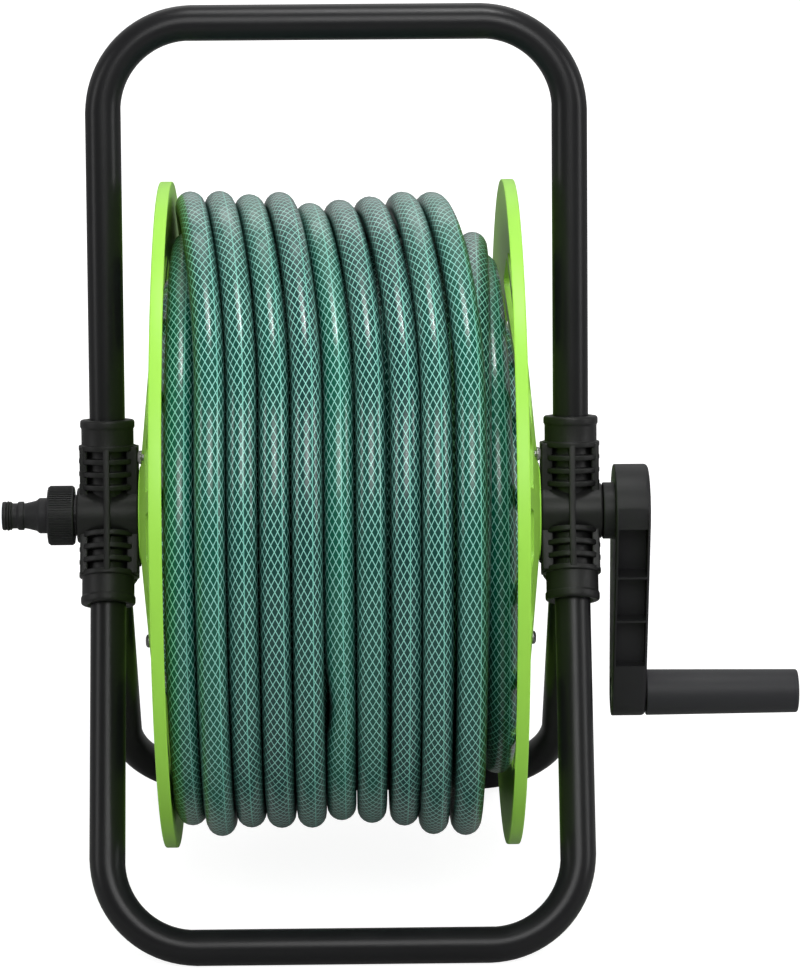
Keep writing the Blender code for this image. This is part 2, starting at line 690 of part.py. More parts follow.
# Water inlet: a ribbed nut with a quick-connect nipple
def inletAdaptorMesh():
    nut = INLET_NUT_DIA / 2
    root, face = nut * 0.94, nutOuter - NUT_RIB_DEPTH
    thread = threadRadius + SEAT_GAP
    seat = nutInner + THREAD_LENGTH + WASHER_THICK + 2 * SEAT_GAP
    bore, land, waist, edge = NIPPLE_BORE / 2, NIPPLE_DIA / 2, NIPPLE_WAIST_DIA / 2, NIPPLE_EDGE
    collar, shoulder = nutOuter + ADAPTOR_COLLAR, ADAPTOR_COLLAR_DIA / 2
    tip, catch, landEnd = inletTip, inletTip - NIPPLE_CATCH, inletTip - NIPPLE_CATCH + NIPPLE_LAND
    ring, lip = tip - O_RING_PLACE, tip - O_RING_PLACE - O_RING_WIDTH
    body = turned([
        (nutInner, thread), (nutInner, root), (face, root), (face, shoulder),
        (collar, shoulder), (collar + 2 * edge, waist + edge), (catch, waist), (catch, land), (landEnd, land),
        (landEnd + edge, waist), (lip - 3 * edge, waist), (lip - 2 * edge, land), (lip, land),
        (lip, oRingSeat), (ring, oRingSeat), (ring, land), (tip - edge, land), (tip, land - edge),
        (tip, bore), (seat, bore), (seat, thread),
    ])
    outline = []
    for index in range(NUT_RIBS):
        for share, radius in ((0.0, nut), (0.4, nut), (0.5, nut - NUT_RIB_DEPTH), (0.9, nut - NUT_RIB_DEPTH)):
            angle = math.tau * (index + share) / NUT_RIBS
            outline.append((radius * math.sin(angle), radius * math.cos(angle)))
    hollow = rod(0, inletTip, nut * NUT_HOLLOW)
    shell = combined(extruded(outline, nutInner, nutOuter), [("DIFFERENCE", hollow)])
    return moved(combined(body, [("UNION", shell)]), mirror)


oRingSeat = NIPPLE_DIA / 2 - O_RING_THICK
addObject("inlet_adaptor", inletAdaptorMesh(), blackPlastic, drumAxis)

washerStart = nutInner + THREAD_LENGTH + SEAT_GAP
washer = turned([(washerStart, WATER_BORE / 2), (washerStart, threadRadius),
                 (washerStart + WASHER_THICK, threadRadius), (washerStart + WASHER_THICK, WATER_BORE / 2)])
addObject("adaptor_washer", moved(washer, mirror), sealRubber, drumAxis)


def ringSection(middle, radius, thick, corners=6):
    """Profile of a ring with a round section."""
    angles = [math.tau * index / corners for index in range(corners)]
    return [(middle + thick / 2 * math.cos(angle), radius + thick / 2 * math.sin(angle)) for angle in angles]


oRingMiddle = oRingSeat + SEAT_GAP + O_RING_THICK / 2
oRing = turned(ringSection(inletTip - O_RING_PLACE - O_RING_WIDTH / 2, oRingMiddle, O_RING_THICK), 14)
addObject("nipple_o_ring", moved(oRing, mirror), sealRubber, drumAxis)


# Crank: one moulding, a drop-shaped arm with an open channel on both edges
def dropOutline(hub, end, throw, parts=14):
    """(y, z) points round two circles and the straight lines that touch both."""
    tilt = math.asin((hub - end) / throw)
    points = []
    for index in range(parts + 1):
        angle = -tilt + (math.pi + 2 * tilt) * index / parts
        points.append((-hub * math.cos(angle), hub * math.sin(angle)))
    for index in range(parts // 2 + 1):
        angle = math.pi + tilt + (math.pi - 2 * tilt) * index / (parts // 2)
        points.append((-end * math.cos(angle), -throw + end * math.sin(angle)))
    return points


def crankArmMesh():
    hub, end = CRANK_HUB_DIA / 2, CRANK_END_DIA / 2
    shape = extruded(dropOutline(hub, end, CRANK_THROW), armInner, armOuter)
    neck = rod(neckStart, armInner + CRANK_PLATE, CRANK_NECK_DIA / 2)
    top = -hub * (hub - end) / CRANK_THROW
    bottom = -CRANK_THROW + end
    pitch = (top - bottom) / CRANK_RIBS
    pockets = []
    for index in range(CRANK_RIBS):
        high = top - index * pitch
        low = high - pitch + CRANK_RIB_WALL
        for way in (-1, 1):
            near, far = sorted((way * CRANK_WEB / 2, way * CRANK_HUB_DIA))
            pockets.append(box((armInner + CRANK_PLATE, near, low), (armOuter - CRANK_PLATE, far, high)))
    half = CRANK_SQUARE / 2 + SEAT_GAP
    squareEnd = bossOuter + CRANK_SQUARE_LENGTH + SEAT_GAP
    square = box((neckStart - SEAT_GAP, -half, -half), (squareEnd, half, half))
    screwWay = rod(bossOuter, armOuter + SEAT_GAP, crankScrewHole, SCREW_SIDES)
    recess = rod(crankScrewSeat, armOuter + SEAT_GAP, around(CRANK_WASHER_DIA / 2 + SEAT_GAP))
    down = Matrix.Translation((0, 0, -CRANK_THROW))
    boltWay = moved(rod(neckStart, gripStart, around(GRIP_BOLT_DIA / 2 + SEAT_GAP)), down)
    nutPocket = rod(neckStart, armInner + GRIP_NUT + NUT_POCKET_SPARE, around(nutFlats + SEAT_GAP, 6), 6)
    cuts = [joined(pockets), square, screwWay, recess, boltWay, moved(nutPocket, down)]
    return combined(shape, [("UNION", neck)] + [("DIFFERENCE", tool) for tool in cuts])


nutFlats = GRIP_NUT_DIA / 2 * math.cos(math.pi / 6)
crankScrewSeat = armOuter - CRANK_SCREW_HEAD - CRANK_WASHER - CRANK_SCREW_SUNK
addObject("crank_arm", crankArmMesh(), blackPlastic, drumAxis)

washerFace = crankScrewSeat + SEAT_GAP
washerHole = around(CRANK_SCREW_DIA / 2 + SEAT_GAP)
washer = turned([(washerFace, washerHole), (washerFace, CRANK_WASHER_DIA / 2),
                 (washerFace + CRANK_WASHER, CRANK_WASHER_DIA / 2), (washerFace + CRANK_WASHER, washerHole)])
addObject("crank_washer", washer, zincSteel, drumAxis)

headFace = washerFace + CRANK_WASHER + SEAT_GAP
crankScrewLength = headFace - bossOuter - PLATE_THICK
crankScrew = panScrew(CRANK_SCREW_DIA, crankScrewLength, CRANK_SCREW_HEAD_DIA, CRANK_SCREW_HEAD, 12)
addObject("crank_screw", moved(crankScrew, Matrix.Translation((headFace, 0, 0))), zincSteel, drumAxis)


# Grip: a sleeve that turns on a long bolt through the foot of the crank
def gripMesh():
    bore = around(GRIP_BOLT_DIA / 2 + RUN_GAP)
    recess = around(GRIP_BOLT_HEAD_DIA / 2 + RUN_GAP)
    start, end = GRIP_DIA / 2, GRIP_END_DIA / 2
    seat = gripEnd - GRIP_BOLT_RECESS
    return turned([
        (gripStart, bore), (gripStart, start - GRIP_EDGE), (gripStart + GRIP_EDGE, start),
        (gripEnd - GRIP_ROUND, end), (gripEnd - GRIP_ROUND * 0.3, end - GRIP_ROUND * 0.3),
        (gripEnd, end - GRIP_ROUND),
        (gripEnd, recess), (seat, recess), (seat, bore),
    ])


addObject("grip", gripMesh(), gripPlastic, gripAxis)

boltFace = gripEnd - GRIP_BOLT_RECESS + RUN_GAP
nutFace = armInner + GRIP_NUT_SUNK
boltEnd, boltHead = boltFace + GRIP_BOLT_HEAD, GRIP_BOLT_HEAD_DIA / 2
bolt = turned([
    (nutFace, 0), (nutFace, GRIP_BOLT_DIA / 2), (boltFace, GRIP_BOLT_DIA / 2), (boltFace, boltHead),
    (boltEnd - EDGE_CHAMFER, boltHead), (boltEnd, boltHead - EDGE_CHAMFER), (boltEnd, 0),
])
addObject("grip_bolt", bolt, zincSteel, drumAxis, (0, 0, -CRANK_THROW))
nutRing = rod(nutFace, armInner + GRIP_NUT, GRIP_NUT_DIA / 2, 6)
nutHole = rod(armInner - GRIP_NUT, armInner + 2 * GRIP_NUT, around(GRIP_BOLT_DIA / 2 + SEAT_GAP))
addObject("grip_nut", combined(nutRing, [("DIFFERENCE", nutHole)]), zincSteel, drumAxis, (0, 0, -CRANK_THROW))


# Outlet pipe from the inlet axle through the barrel, bent up to the hose at the crank side
def elbowPath(ends, run, leg):
    """(x, z, radius) points: the given ends on the axle, then the bend from the run's radius to the leg's."""
    bend = []
    for index in range(BEND_STEPS + 1):
        angle, share = math.pi / 2 * index / BEND_STEPS, index / BEND_STEPS
        place = (outletX - ELBOW_BEND * (1 - math.sin(angle)), ELBOW_BEND * (1 - math.cos(angle)))
        bend.append((*place, run + (leg - run) * share))
    return ends + bend + [(outletX, ELBOW_RISE, leg)]


def elbowMesh():
    socket = around(SPIGOT_DIA / 2 + SEAT_GAP, TUBE_SIDES)
    seat = plateInner - SPIGOT_LENGTH - SEAT_GAP
    cup, cupEnd, taper = socket + OUTLET_CUP_WALL, seat + OUTLET_CUP_DEPTH, OUTLET_CUP_TAPER
    pipe, water, leg, legWater = OUTLET_PIPE_DIA / 2, WATER_BORE / 2, ELBOW_LEG_DIA / 2, ELBOW_LEG_BORE / 2
    outside = [(-cupEnd, 0, cup), (-seat + taper, 0, cup), (-seat + 2 * taper, 0, pipe)]
    inside = [(-cupEnd, 0, socket), (-seat, 0, socket), (-seat, 0, water)]
    return hollowSweep(elbowPath(outside, pipe, leg), elbowPath(inside, water, legWater))


addObject("outlet_elbow", elbowMesh(), blackPlastic, drumAxis)


# Hose. Angles run from the top over the front, so the hose winds towards the user
def smooth(value):
    value = min(max(value, 0.0), 1.0)
    return value * value * (3 - 2 * value)


def hosePoint(angle):
    """Middle of the outer layer's hose at a winding angle, with 0 at the top of turn one."""
    turn, within = divmod(angle - CROSS_START, math.tau)
    crossing = smooth(within / (CROSS_END - CROSS_START)) if turn >= 1 else 1.0
    place = HOSE_FIRST + HOSE_PITCH * max(turn - 1 + crossing, 0)
    radius = HOSE_RADIUS - HOSE_UNDER * (1 - smooth((angle - CLIMB_START) / (CLIMB_END - CLIMB_START)))
    last = (HOSE_TURNS - 1) * math.tau
    drift = HOSE_END_X - (HOSE_FIRST + HOSE_PITCH * (HOSE_TURNS - 1))
    place += drift * smooth((angle - last - DRIFT_START) / (DRIFT_END - DRIFT_START))
    return Vector((place, -radius * math.sin(angle), radius * math.cos(angle)))


def eased(start, startWay, end, endWay, count):
    """Points of a cubic between two ends with given headings, without the first one."""
    points = []
    for index in range(1, count + 1):
        t = index / count
        points.append((2 * t ** 3 - 3 * t ** 2 + 1) * start + (t ** 3 - 2 * t ** 2 + t) * startWay
                      + (3 * t ** 2 - 2 * t ** 3) * end + (t ** 3 - t ** 2) * endWay)
    return points


couplingReach = COUPLING_NUT_LENGTH + COUPLING_LENGTH + SEAT_GAP
couplingBottom = -couplingReach / 2
couplingY = HOSE_RADIUS - hoseR + COUPLING_DIA / 2


def hoseRoute():
    step = math.tau / TURN_POINTS
    lastAngle = (HOSE_TURNS - 1) * math.tau + TAIL_START
    count = round((lastAngle - UNDER_START) / step)
    angles = [UNDER_START + (lastAngle - UNDER_START) * index / count for index in range(count + 1)]
    wound = [hosePoint(angle) for angle in angles]
    first = (hosePoint(UNDER_START + step / 100) - wound[0]).normalized()
    start = wound[0] - first * HOSE_DIA
    end = Vector((HOSE_END_X, couplingY, couplingBottom - SEAT_GAP))
    straight = end - Vector((0, 0, HOSE_DIA))
    gap = (straight - wound[-1]).length
    heading = (wound[-1] - wound[-2]).normalized() * gap
    return [start] + wound + eased(wound[-1], heading, straight, Vector((0, 0, gap)), 5) + [end]


def hoseTube(name, points, parent):
    """Tube of six sides along points, as a poly curve with filled caps."""
    curve = bpy.data.curves.new(name, "CURVE")
    curve.dimensions = "3D"
    curve.bevel_depth = hoseR
    curve.bevel_resolution = 1
    curve.use_fill_caps = True
    spline = curve.splines.new("POLY")
    spline.points.add(len(points) - 1)
    for knot, point in zip(spline.points, points):
        knot.co = (*point, 1)
    made = bpy.data.objects.new(name, curve)
    bpy.context.collection.objects.link(made)
    made.parent = parent
    curve.materials.append(hoseGreen)
    return made


route = hoseRoute()
hoseTube("hose_outer_turns", route, drumAxis)

# Least gap of the winding to itself, between points more than a quarter turn apart
samples = []
for first, second in zip(route, route[1:]):
    samples += [first, (first + second) / 2]
apart = TURN_POINTS // 2
least = min((a - b).length for i, a in enumerate(samples) for b in samples[i + apart:])
hoseLength = sum((b - a).length for a, b in zip(route, route[1:]))
print(f"outer turns: {hoseLength:.2f} m of hose, least gap to itself {1000 * (least - HOSE_DIA):.2f} mm")


# Inner layers: a plain core with a ledge on the left and two lower turns on the right
def coreMesh():
    chord = math.cos(math.pi / TURN_POINTS)
    top = (HOSE_RADIUS - hoseR) * chord - SEAT_GAP
    ledge = (HOSE_RADIUS - HOSE_UNDER - hoseR) * chord - SEAT_GAP
    inner = around(BARREL_DIA / 2 + SEAT_GAP, CORE_SIDES)
    wall = HOSE_FIRST + hoseR + SEAT_GAP

    def inside(radius):
        return dishInside(radius) - 2 * SEAT_GAP

    profile = [(-inside(inner) + BARREL_LEDGE, inner), (-inside(inner + BARREL_LEDGE), inner + BARREL_LEDGE)]
    profile += [(-inside(ledge), ledge), (wall, ledge), (wall, top)]
    sideX, sideR = HOSE_SIDE_TURN
    deepX, deepR = HOSE_DEEP_TURN
    profile.append((sideX - hoseR, top))
    for degrees in (135, 90, 45):
        angle = math.radians(degrees)
        profile.append((sideX + hoseR * math.cos(angle), sideR + hoseR * math.sin(angle)))
    for degrees in (65, 10):
        angle = math.radians(degrees)
        profile.append((deepX + (hoseR - SEAT_GAP) * math.cos(angle), deepR + hoseR * math.sin(angle)))
    profile += [(inside(deepR - hoseR), deepR - hoseR), (inside(inner + BARREL_LEDGE), inner + BARREL_LEDGE)]
    profile.append((inside(inner) - BARREL_LEDGE, inner))
    return turned(profile, CORE_SIDES)


addObject("hose_inner_layers", coreMesh(), hoseGreen, drumAxis)

tailStart = Vector((outletX, 0, ELBOW_RISE + SEAT_GAP))
tailEnd = Vector((outletX, 0, BARREL_DIA / 2))
hoseTube("hose_tail", [tailStart.lerp(tailEnd, index / 2) for index in range(3)], drumAxis)

clipInner = hoseR + SEAT_GAP
clip = turned([(0, clipInner), (0, clipInner + CLIP_WALL), (CLIP_WIDTH, clipInner + CLIP_WALL),
               (CLIP_WIDTH, clipInner)], 12)
addObject("hose_clip", moved(clip, upright), zincSteel, drumAxis, tailStart + Vector((0, 0, CLIP_WIDTH / 2)))


# Quick coupling on the free end, upright behind the drum with its mouth up
couplingR = COUPLING_DIA / 2
nutHole = COUPLING_NUT_BORE / 2
nut = turned([
    (0, nutHole), (0, couplingR - EDGE_CHAMFER), (EDGE_CHAMFER, couplingR),
    (COUPLING_NUT_LENGTH - EDGE_CHAMFER, couplingR), (COUPLING_NUT_LENGTH, couplingR - EDGE_CHAMFER),
    (COUPLING_NUT_LENGTH, nutHole),
])
addObject("coupling_nut", moved(nut, upright), gripPlastic, drumAxis, (HOSE_END_X, couplingY, couplingBottom))
mouth, groove, bottom = COUPLING_MOUTH / 2, COUPLING_GROOVE, COUPLING_LENGTH - COUPLING_MOUTH_DEPTH
body = turned([
    (0, COUPLING_BORE / 2), (0, couplingR - groove), (2 * groove, couplingR - groove),
    (3 * groove, couplingR), (COUPLING_LENGTH * 0.53, couplingR - COUPLING_WAIST),
    (COUPLING_LENGTH * 0.8, couplingR),
    (COUPLING_LENGTH - EDGE_CHAMFER, couplingR), (COUPLING_LENGTH, couplingR - EDGE_CHAMFER),
    (COUPLING_LENGTH, mouth), (bottom, mouth), (bottom, COUPLING_BORE / 2),
])
addObject("hose_coupling", moved(body, upright), blackPlastic, drumAxis,
          (HOSE_END_X, couplingY, couplingBottom + COUPLING_NUT_LENGTH + SEAT_GAP))
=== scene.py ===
import json
import math

import bmesh
import bpy
import numpy as np
from mathutils import Matrix, Vector

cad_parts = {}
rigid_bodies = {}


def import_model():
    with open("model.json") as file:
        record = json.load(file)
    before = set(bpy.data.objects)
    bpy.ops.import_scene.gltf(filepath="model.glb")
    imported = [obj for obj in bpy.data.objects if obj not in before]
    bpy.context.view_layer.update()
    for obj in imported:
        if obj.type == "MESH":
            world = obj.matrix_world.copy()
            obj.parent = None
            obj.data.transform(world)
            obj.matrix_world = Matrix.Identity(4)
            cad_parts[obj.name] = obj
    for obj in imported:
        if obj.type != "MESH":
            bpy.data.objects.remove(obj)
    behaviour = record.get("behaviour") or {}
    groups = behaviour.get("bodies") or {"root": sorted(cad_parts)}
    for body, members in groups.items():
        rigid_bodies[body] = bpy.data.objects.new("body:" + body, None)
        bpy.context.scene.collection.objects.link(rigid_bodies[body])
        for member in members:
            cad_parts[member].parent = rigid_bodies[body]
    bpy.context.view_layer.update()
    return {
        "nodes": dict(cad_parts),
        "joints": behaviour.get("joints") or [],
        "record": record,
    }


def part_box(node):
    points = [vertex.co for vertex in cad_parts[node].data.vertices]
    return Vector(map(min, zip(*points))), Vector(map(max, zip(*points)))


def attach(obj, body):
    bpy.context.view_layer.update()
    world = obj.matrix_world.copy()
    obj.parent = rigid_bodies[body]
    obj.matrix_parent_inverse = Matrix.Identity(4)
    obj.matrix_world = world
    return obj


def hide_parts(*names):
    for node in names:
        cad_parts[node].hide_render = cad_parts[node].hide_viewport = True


for old in list(bpy.data.objects):
    bpy.data.objects.remove(old, do_unlink=True)

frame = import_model()
scene = bpy.context.scene
scene.view_settings.view_transform = "Standard"

hinges = {joint["name"]: Vector(joint["pos_m"]) for joint in frame["joints"]}
axle = hinges["drum_spin"]  # pieces are made about the middle of the axle, which runs along X
sideways = (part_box("right_bracket")[0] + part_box("right_bracket")[1]) / 2 - axle
mirrorX = Matrix.Scale(-1, 4, (1, 0, 0))
slotOfNode = {part["node"]: part["material_slot"] for part in frame["record"]["subparts"]}
print("frame loaded,", len(frame["nodes"]), "nodes")


# Camera, at the photograph's place
cameraSizes = {"target": (0.0323, 0.0, 0.0135), "distance": 2.0714, "down": 18.53, "turn": 0.895,
               "roll": 0.241, "lens": 142.49, "sensor": 36, "sees": 30}


def aimCamera(sizes):
    down, turn, roll = (math.radians(sizes[key]) for key in ("down", "turn", "roll"))
    look = Vector((math.sin(turn) * math.cos(down), math.cos(turn) * math.cos(down), -math.sin(down)))
    right = Vector((math.cos(turn), -math.sin(turn), 0))
    up = right.cross(look)
    rolledRight = right * math.cos(roll) - up * math.sin(roll)
    rolledUp = right * math.sin(roll) + up * math.cos(roll)
    data = bpy.data.cameras.new("camera")
    data.lens = sizes["lens"]
    data.sensor_width = sizes["sensor"]
    data.clip_end = sizes["sees"]
    made = bpy.data.objects.new("camera", data)
    scene.collection.objects.link(made)
    facing = Matrix((rolledRight, rolledUp, -look)).transposed().to_4x4()
    made.matrix_world = Matrix.Translation(axle + Vector(sizes["target"]) - look * sizes["distance"]) @ facing
    scene.camera = made


aimCamera(cameraSizes)
print("camera set")


# Node helpers. A link is a socket, a plain value, or None to leave the socket as it is
def addNode(tree, kind, *links, **settings):
    node = tree.nodes.new(kind)
    for key, value in settings.items():
        setattr(node, key, value)
    for socket, source in zip(node.inputs, links):
        if isinstance(source, bpy.types.NodeSocket):
            tree.links.new(source, socket)
        elif source is not None:
            socket.default_value = source
    return node


def calc(tree, operation, *links):
    return addNode(tree, "ShaderNodeMath", *links, operation=operation).outputs[0]


def mixColour(tree, share, first, second):
    node = tree.nodes.new("ShaderNodeMix")
    node.data_type = "RGBA"
    for label, source in (("Factor_Float", share), ("A_Color", first), ("B_Color", second)):
        socket = next(item for item in node.inputs if item.identifier == label)
        if isinstance(source, bpy.types.NodeSocket):
            tree.links.new(source, socket)
        else:
            socket.default_value = source
    return next(item for item in node.outputs if item.identifier == "Result_Color")


def ranged(tree, value, fromLow, fromHigh, toLow, toHigh):
    node = addNode(tree, "ShaderNodeMapRange", value, fromLow, fromHigh, toLow, toHigh)
    node.interpolation_type = "SMOOTHSTEP"
    return node.outputs[0]


def newGroup(name, inputs, outputs, kind="ShaderNodeTree"):
    group = bpy.data.node_groups.new(name, kind)
    for label, socketKind, value in inputs:
        socket = group.interface.new_socket(label, in_out="INPUT", socket_type="NodeSocket" + socketKind)
        if value is not None:
            socket.default_value = value
    for label, socketKind in outputs:
        group.interface.new_socket(label, in_out="OUTPUT", socket_type="NodeSocket" + socketKind)
    return group, group.nodes.new("NodeGroupInput").outputs, group.nodes.new("NodeGroupOutput").inputs


# Grain: the fine texture of a moulded or powder coated skin, with slow changes in its gloss
def makeGrain():
    group, given, out = newGroup(
        "grain",
        [("Size", "Float", 0.001), ("Depth", "Float", 0.1), ("Gloss Change", "Float", 0.1),
         ("Roughness", "Float", 0.4)],
        [("Normal", "Vector"), ("Roughness", "Float"), ("Mottle", "Float")])
    place = addNode(group, "ShaderNodeTexCoord").outputs["Object"]
    scale = calc(group, "DIVIDE", 1.0, given["Size"])
    fine = addNode(group, "ShaderNodeTexNoise", place, None, scale, 3.0, 0.6)
    bump = addNode(group, "ShaderNodeBump")
    bump.inputs["Distance"].default_value = 0.0004
    group.links.new(given["Depth"], bump.inputs["Strength"])
    group.links.new(fine.outputs["Fac"], bump.inputs["Height"])
    slow = addNode(group, "ShaderNodeTexNoise", place, None, 23.0, 4.0, 0.55).outputs["Fac"]
    change = calc(group, "MULTIPLY", calc(group, "SUBTRACT", slow, 0.5), given["Gloss Change"])
    group.links.new(bump.outputs[0], out["Normal"])
    group.links.new(calc(group, "ADD", given["Roughness"], change), out["Roughness"])
    group.links.new(slow, out["Mottle"])
    return group


# Dust on faces that look up, from a given slope on; on the hose the same mask lays a pale painted sheen on
# the tops of the turns, a painted reflection
def makeDustAndSheen():
    group, given, out = newGroup(
        "dust", [("Amount", "Float", 0.2), ("Patch Size", "Float", 0.02), ("Slope", "Float", 0.1)],
        [("Mask", "Float")])
    place = addNode(group, "ShaderNodeTexCoord").outputs["Object"]
    normal = addNode(group, "ShaderNodeNewGeometry").outputs["Normal"]
    upwards = addNode(group, "ShaderNodeSeparateXYZ", normal).outputs["Z"]
    scale = calc(group, "DIVIDE", 1.0, given["Patch Size"])
    patches = addNode(group, "ShaderNodeTexNoise", place, None, scale, 5.0, 0.65)
    cover = ranged(group, patches.outputs["Fac"], 0.42, 0.68, 0.25, 1.0)
    lying = calc(group, "MULTIPLY", cover, ranged(group, upwards, given["Slope"], 1.0, 0.0, 1.0))
    group.links.new(calc(group, "MULTIPLY", lying, given["Amount"]), out["Mask"])
    return group


# Braid: two crossed sets of yarns round a hose, from its UV map, in metres along and turns round
def makeBraid():
    group, given, out = newGroup(
        "braid",
        [("Yarns", "Float", 14.0), ("Lead", "Float", 0.09), ("Yarn Width", "Float", 0.2)],
        [("Yarn", "Float"), ("Crossing", "Float"), ("Round", "Float"), ("Along", "Float")])
    uv = addNode(group, "ShaderNodeUVMap", uv_map="hoseUv").outputs[0]
    spot = addNode(group, "ShaderNodeSeparateXYZ", uv)
    lengthwise, roundwise = spot.outputs["X"], spot.outputs["Y"]
    turns = calc(group, "DIVIDE", lengthwise, given["Lead"])
    sets = []
    for operation in ("ADD", "SUBTRACT"):
        place = calc(group, "MULTIPLY", calc(group, operation, roundwise, turns), given["Yarns"])
        away = calc(group, "ABSOLUTE", calc(group, "SUBTRACT", calc(group, "FRACT", place), 0.5))
        edge = calc(group, "MULTIPLY", given["Yarn Width"], 0.5)
        fall = calc(group, "POWER", calc(group, "DIVIDE", away, edge), 3.0)
        sets.append(calc(group, "SUBTRACT", 1.0, calc(group, "MINIMUM", 1.0, fall)))
    group.links.new(calc(group, "MAXIMUM", *sets), out["Yarn"])
    group.links.new(calc(group, "MULTIPLY", *sets), out["Crossing"])
    group.links.new(roundwise, out["Round"])
    group.links.new(lengthwise, out["Along"])
    return group


grainGroup, dustAndSheenGroup, braidGroup = makeGrain(), makeDustAndSheen(), makeBraid()


def newMaterial(name, roughness, specular=0.5, metallic=0.0, coat=0.0, coatRoughness=0.1):
    made = bpy.data.materials.new(name)
    made.use_nodes = True
    shader = made.node_tree.nodes["Principled BSDF"]
    shader.inputs["Roughness"].default_value = roughness
    shader.inputs["Specular IOR Level"].default_value = specular
    shader.inputs["Metallic"].default_value = metallic
    shader.inputs["Coat Weight"].default_value = coat
    shader.inputs["Coat Roughness"].default_value = coatRoughness
    return made, made.node_tree, shader


def useGroup(tree, group, **values):
    node = tree.nodes.new("ShaderNodeGroup")
    node.node_tree = group
    for label, value in values.items():
        node.inputs[label.replace("_", " ")].default_value = value
    return node.outputs


def connectSkin(tree, shader, colour, grain):
    tree.links.new(colour, shader.inputs["Base Color"])
    tree.links.new(grain["Roughness"], shader.inputs["Roughness"])
    tree.links.new(grain["Normal"], shader.inputs["Normal"])


skinSizes = {"glossChange": 0.12, "dustPatch": 0.03}


# A plain finish: base colour with mottle and dust, grain in the normal, gloss that changes slowly
def skin(name, colour, dustColour, roughness, grainSize, depth, dust=0.12, mottle=0.2, **shine):
    made, tree, shader = newMaterial(name, roughness, **shine)
    grain = useGroup(tree, grainGroup, Size=grainSize, Depth=depth, Gloss_Change=skinSizes["glossChange"],
                     Roughness=roughness)
    cover = useGroup(tree, dustAndSheenGroup, Amount=dust, Patch_Size=skinSizes["dustPatch"])["Mask"]
    darker = tuple(part * (1 - mottle) for part in colour) + (1,)
    mottled = mixColour(tree, grain["Mottle"], darker, (*colour, 1))
    connectSkin(tree, shader, mixColour(tree, cover, mottled, (*dustColour, 1)), grain)
    return made


powderCoat = skin("powderCoat", (0.0120, 0.0120, 0.0130), (0.04, 0.04, 0.04), 0.33, 0.0011, 0.08,
                  specular=0.27)
bracketPlastic = skin("bracketPlastic", (0.0115, 0.0115, 0.0118), (0.04, 0.04, 0.04), 0.46, 0.0006, 0.12,
                      specular=0.33)
crankPlastic = skin("crankPlastic", (0.0180, 0.0180, 0.0195), (0.03, 0.03, 0.03), 0.50, 0.0006, 0.12,
                    specular=0.28)
gripPlastic = skin("gripPlastic", (0.026, 0.026, 0.030), (0.06, 0.06, 0.06), 0.52, 0.0005, 0.2, specular=0.35)
limePlastic = skin("limePlastic", (0.375, 0.79, 0.085), (0.50, 0.82, 0.25), 0.36, 0.0009, 0.05, dust=0.05,
                   mottle=0.05, specular=0.28)
zincSteel = skin("zincSteel", (0.36, 0.36, 0.35), (0.3, 0.3, 0.29), 0.42, 0.0004, 0.08, metallic=1.0)
sealRubber = skin("sealRubber", (0.012, 0.012, 0.012), (0.05, 0.05, 0.05), 0.6, 0.0005, 0.1, specular=0.3)


# Hose: dark teal under a clear glossy cover, with painted shade that darkens each turn and dims its yarns
# towards the sides, standing for the cover seen deeper there and the shade between turns, with pale yarns, a
# line along it and a pale painted sheen on its tops, a painted reflection
# The deep colour is painted shade for the sides of the turns, and the pale top colour is a painted reflection
# on their tops
hoseLooks = {"deep": (0.0001, 0.0180, 0.0110, 1), "grey": (0.0022, 0.047, 0.040, 1),
             "green": (0.0002, 0.098, 0.058, 1), "yarn": (0.33, 0.77, 0.66, 1), "line": (0.24, 0.72, 0.58, 1),
             "haze": (0.27, 0.36, 0.34, 1), "roughness": 0.34, "linePlace": 0.31, "lineHalf": (0.003, 0.008),
             "lineShows": 0.6, "wander": 0.04, "wanderRate": 2.3}


def makeHoseMaterial(looks):
    rough = looks["roughness"]
    made, tree, shader = newMaterial("hoseBraid", rough, specular=0.26, coat=0.66, coatRoughness=0.17)
    braid = useGroup(tree, braidGroup, Yarns=14.0, Lead=0.09, Yarn_Width=0.17)
    grain = useGroup(tree, grainGroup, Size=0.0025, Depth=0.05, Gloss_Change=0.15, Roughness=rough)
    # Painted reflection: where the turns face up, a pale sheen is mixed into the colour
    cover = useGroup(tree, dustAndSheenGroup, Amount=0.52, Patch_Size=0.03, Slope=0.80)["Mask"]
    along = addNode(tree, "ShaderNodeCombineXYZ", braid["Along"], 0.0, 0.0).outputs[0]
    slow = addNode(tree, "ShaderNodeTexNoise", along, None, 0.8, 1.0, 0.5).outputs["Fac"]
    tint = mixColour(tree, ranged(tree, slow, 0.42, 0.62, 0.0, 1.0), looks["grey"], looks["green"])
    outwards = calc(tree, "SINE", calc(tree, "MULTIPLY", braid["Round"], math.tau))
    # Painted shade: the colour goes to the deep shade colour at the sides of each turn
    body = mixColour(tree, ranged(tree, outwards, 0.2, 1.0, 0.0, 1.0), looks["deep"], tint)
    wave = calc(tree, "SINE", calc(tree, "MULTIPLY", braid["Along"], looks["wanderRate"]))
    wandering = calc(tree, "ADD", braid["Round"], calc(tree, "MULTIPLY", wave, looks["wander"]))
    place = calc(tree, "FRACT", calc(tree, "ADD", wandering, looks["linePlace"]))
    away = calc(tree, "ABSOLUTE", calc(tree, "SUBTRACT", place, 0.5))
    line = ranged(tree, away, *looks["lineHalf"], 1.0, 0.0)
    # Painted shade: the yarns are dimmed towards the sides of each turn
    yarnPaintedShade = ranged(tree, outwards, 0.0, 0.9, 0.25, 0.92)
    yarned = mixColour(tree, calc(tree, "MULTIPLY", braid["Yarn"], yarnPaintedShade), body, looks["yarn"])
    lined = mixColour(tree, calc(tree, "MULTIPLY", line, looks["lineShows"]), yarned, looks["line"])
    connectSkin(tree, shader, mixColour(tree, cover, lined, looks["haze"]), grain)
    return made


hoseBraid = makeHoseMaterial(hoseLooks)
print("materials made")


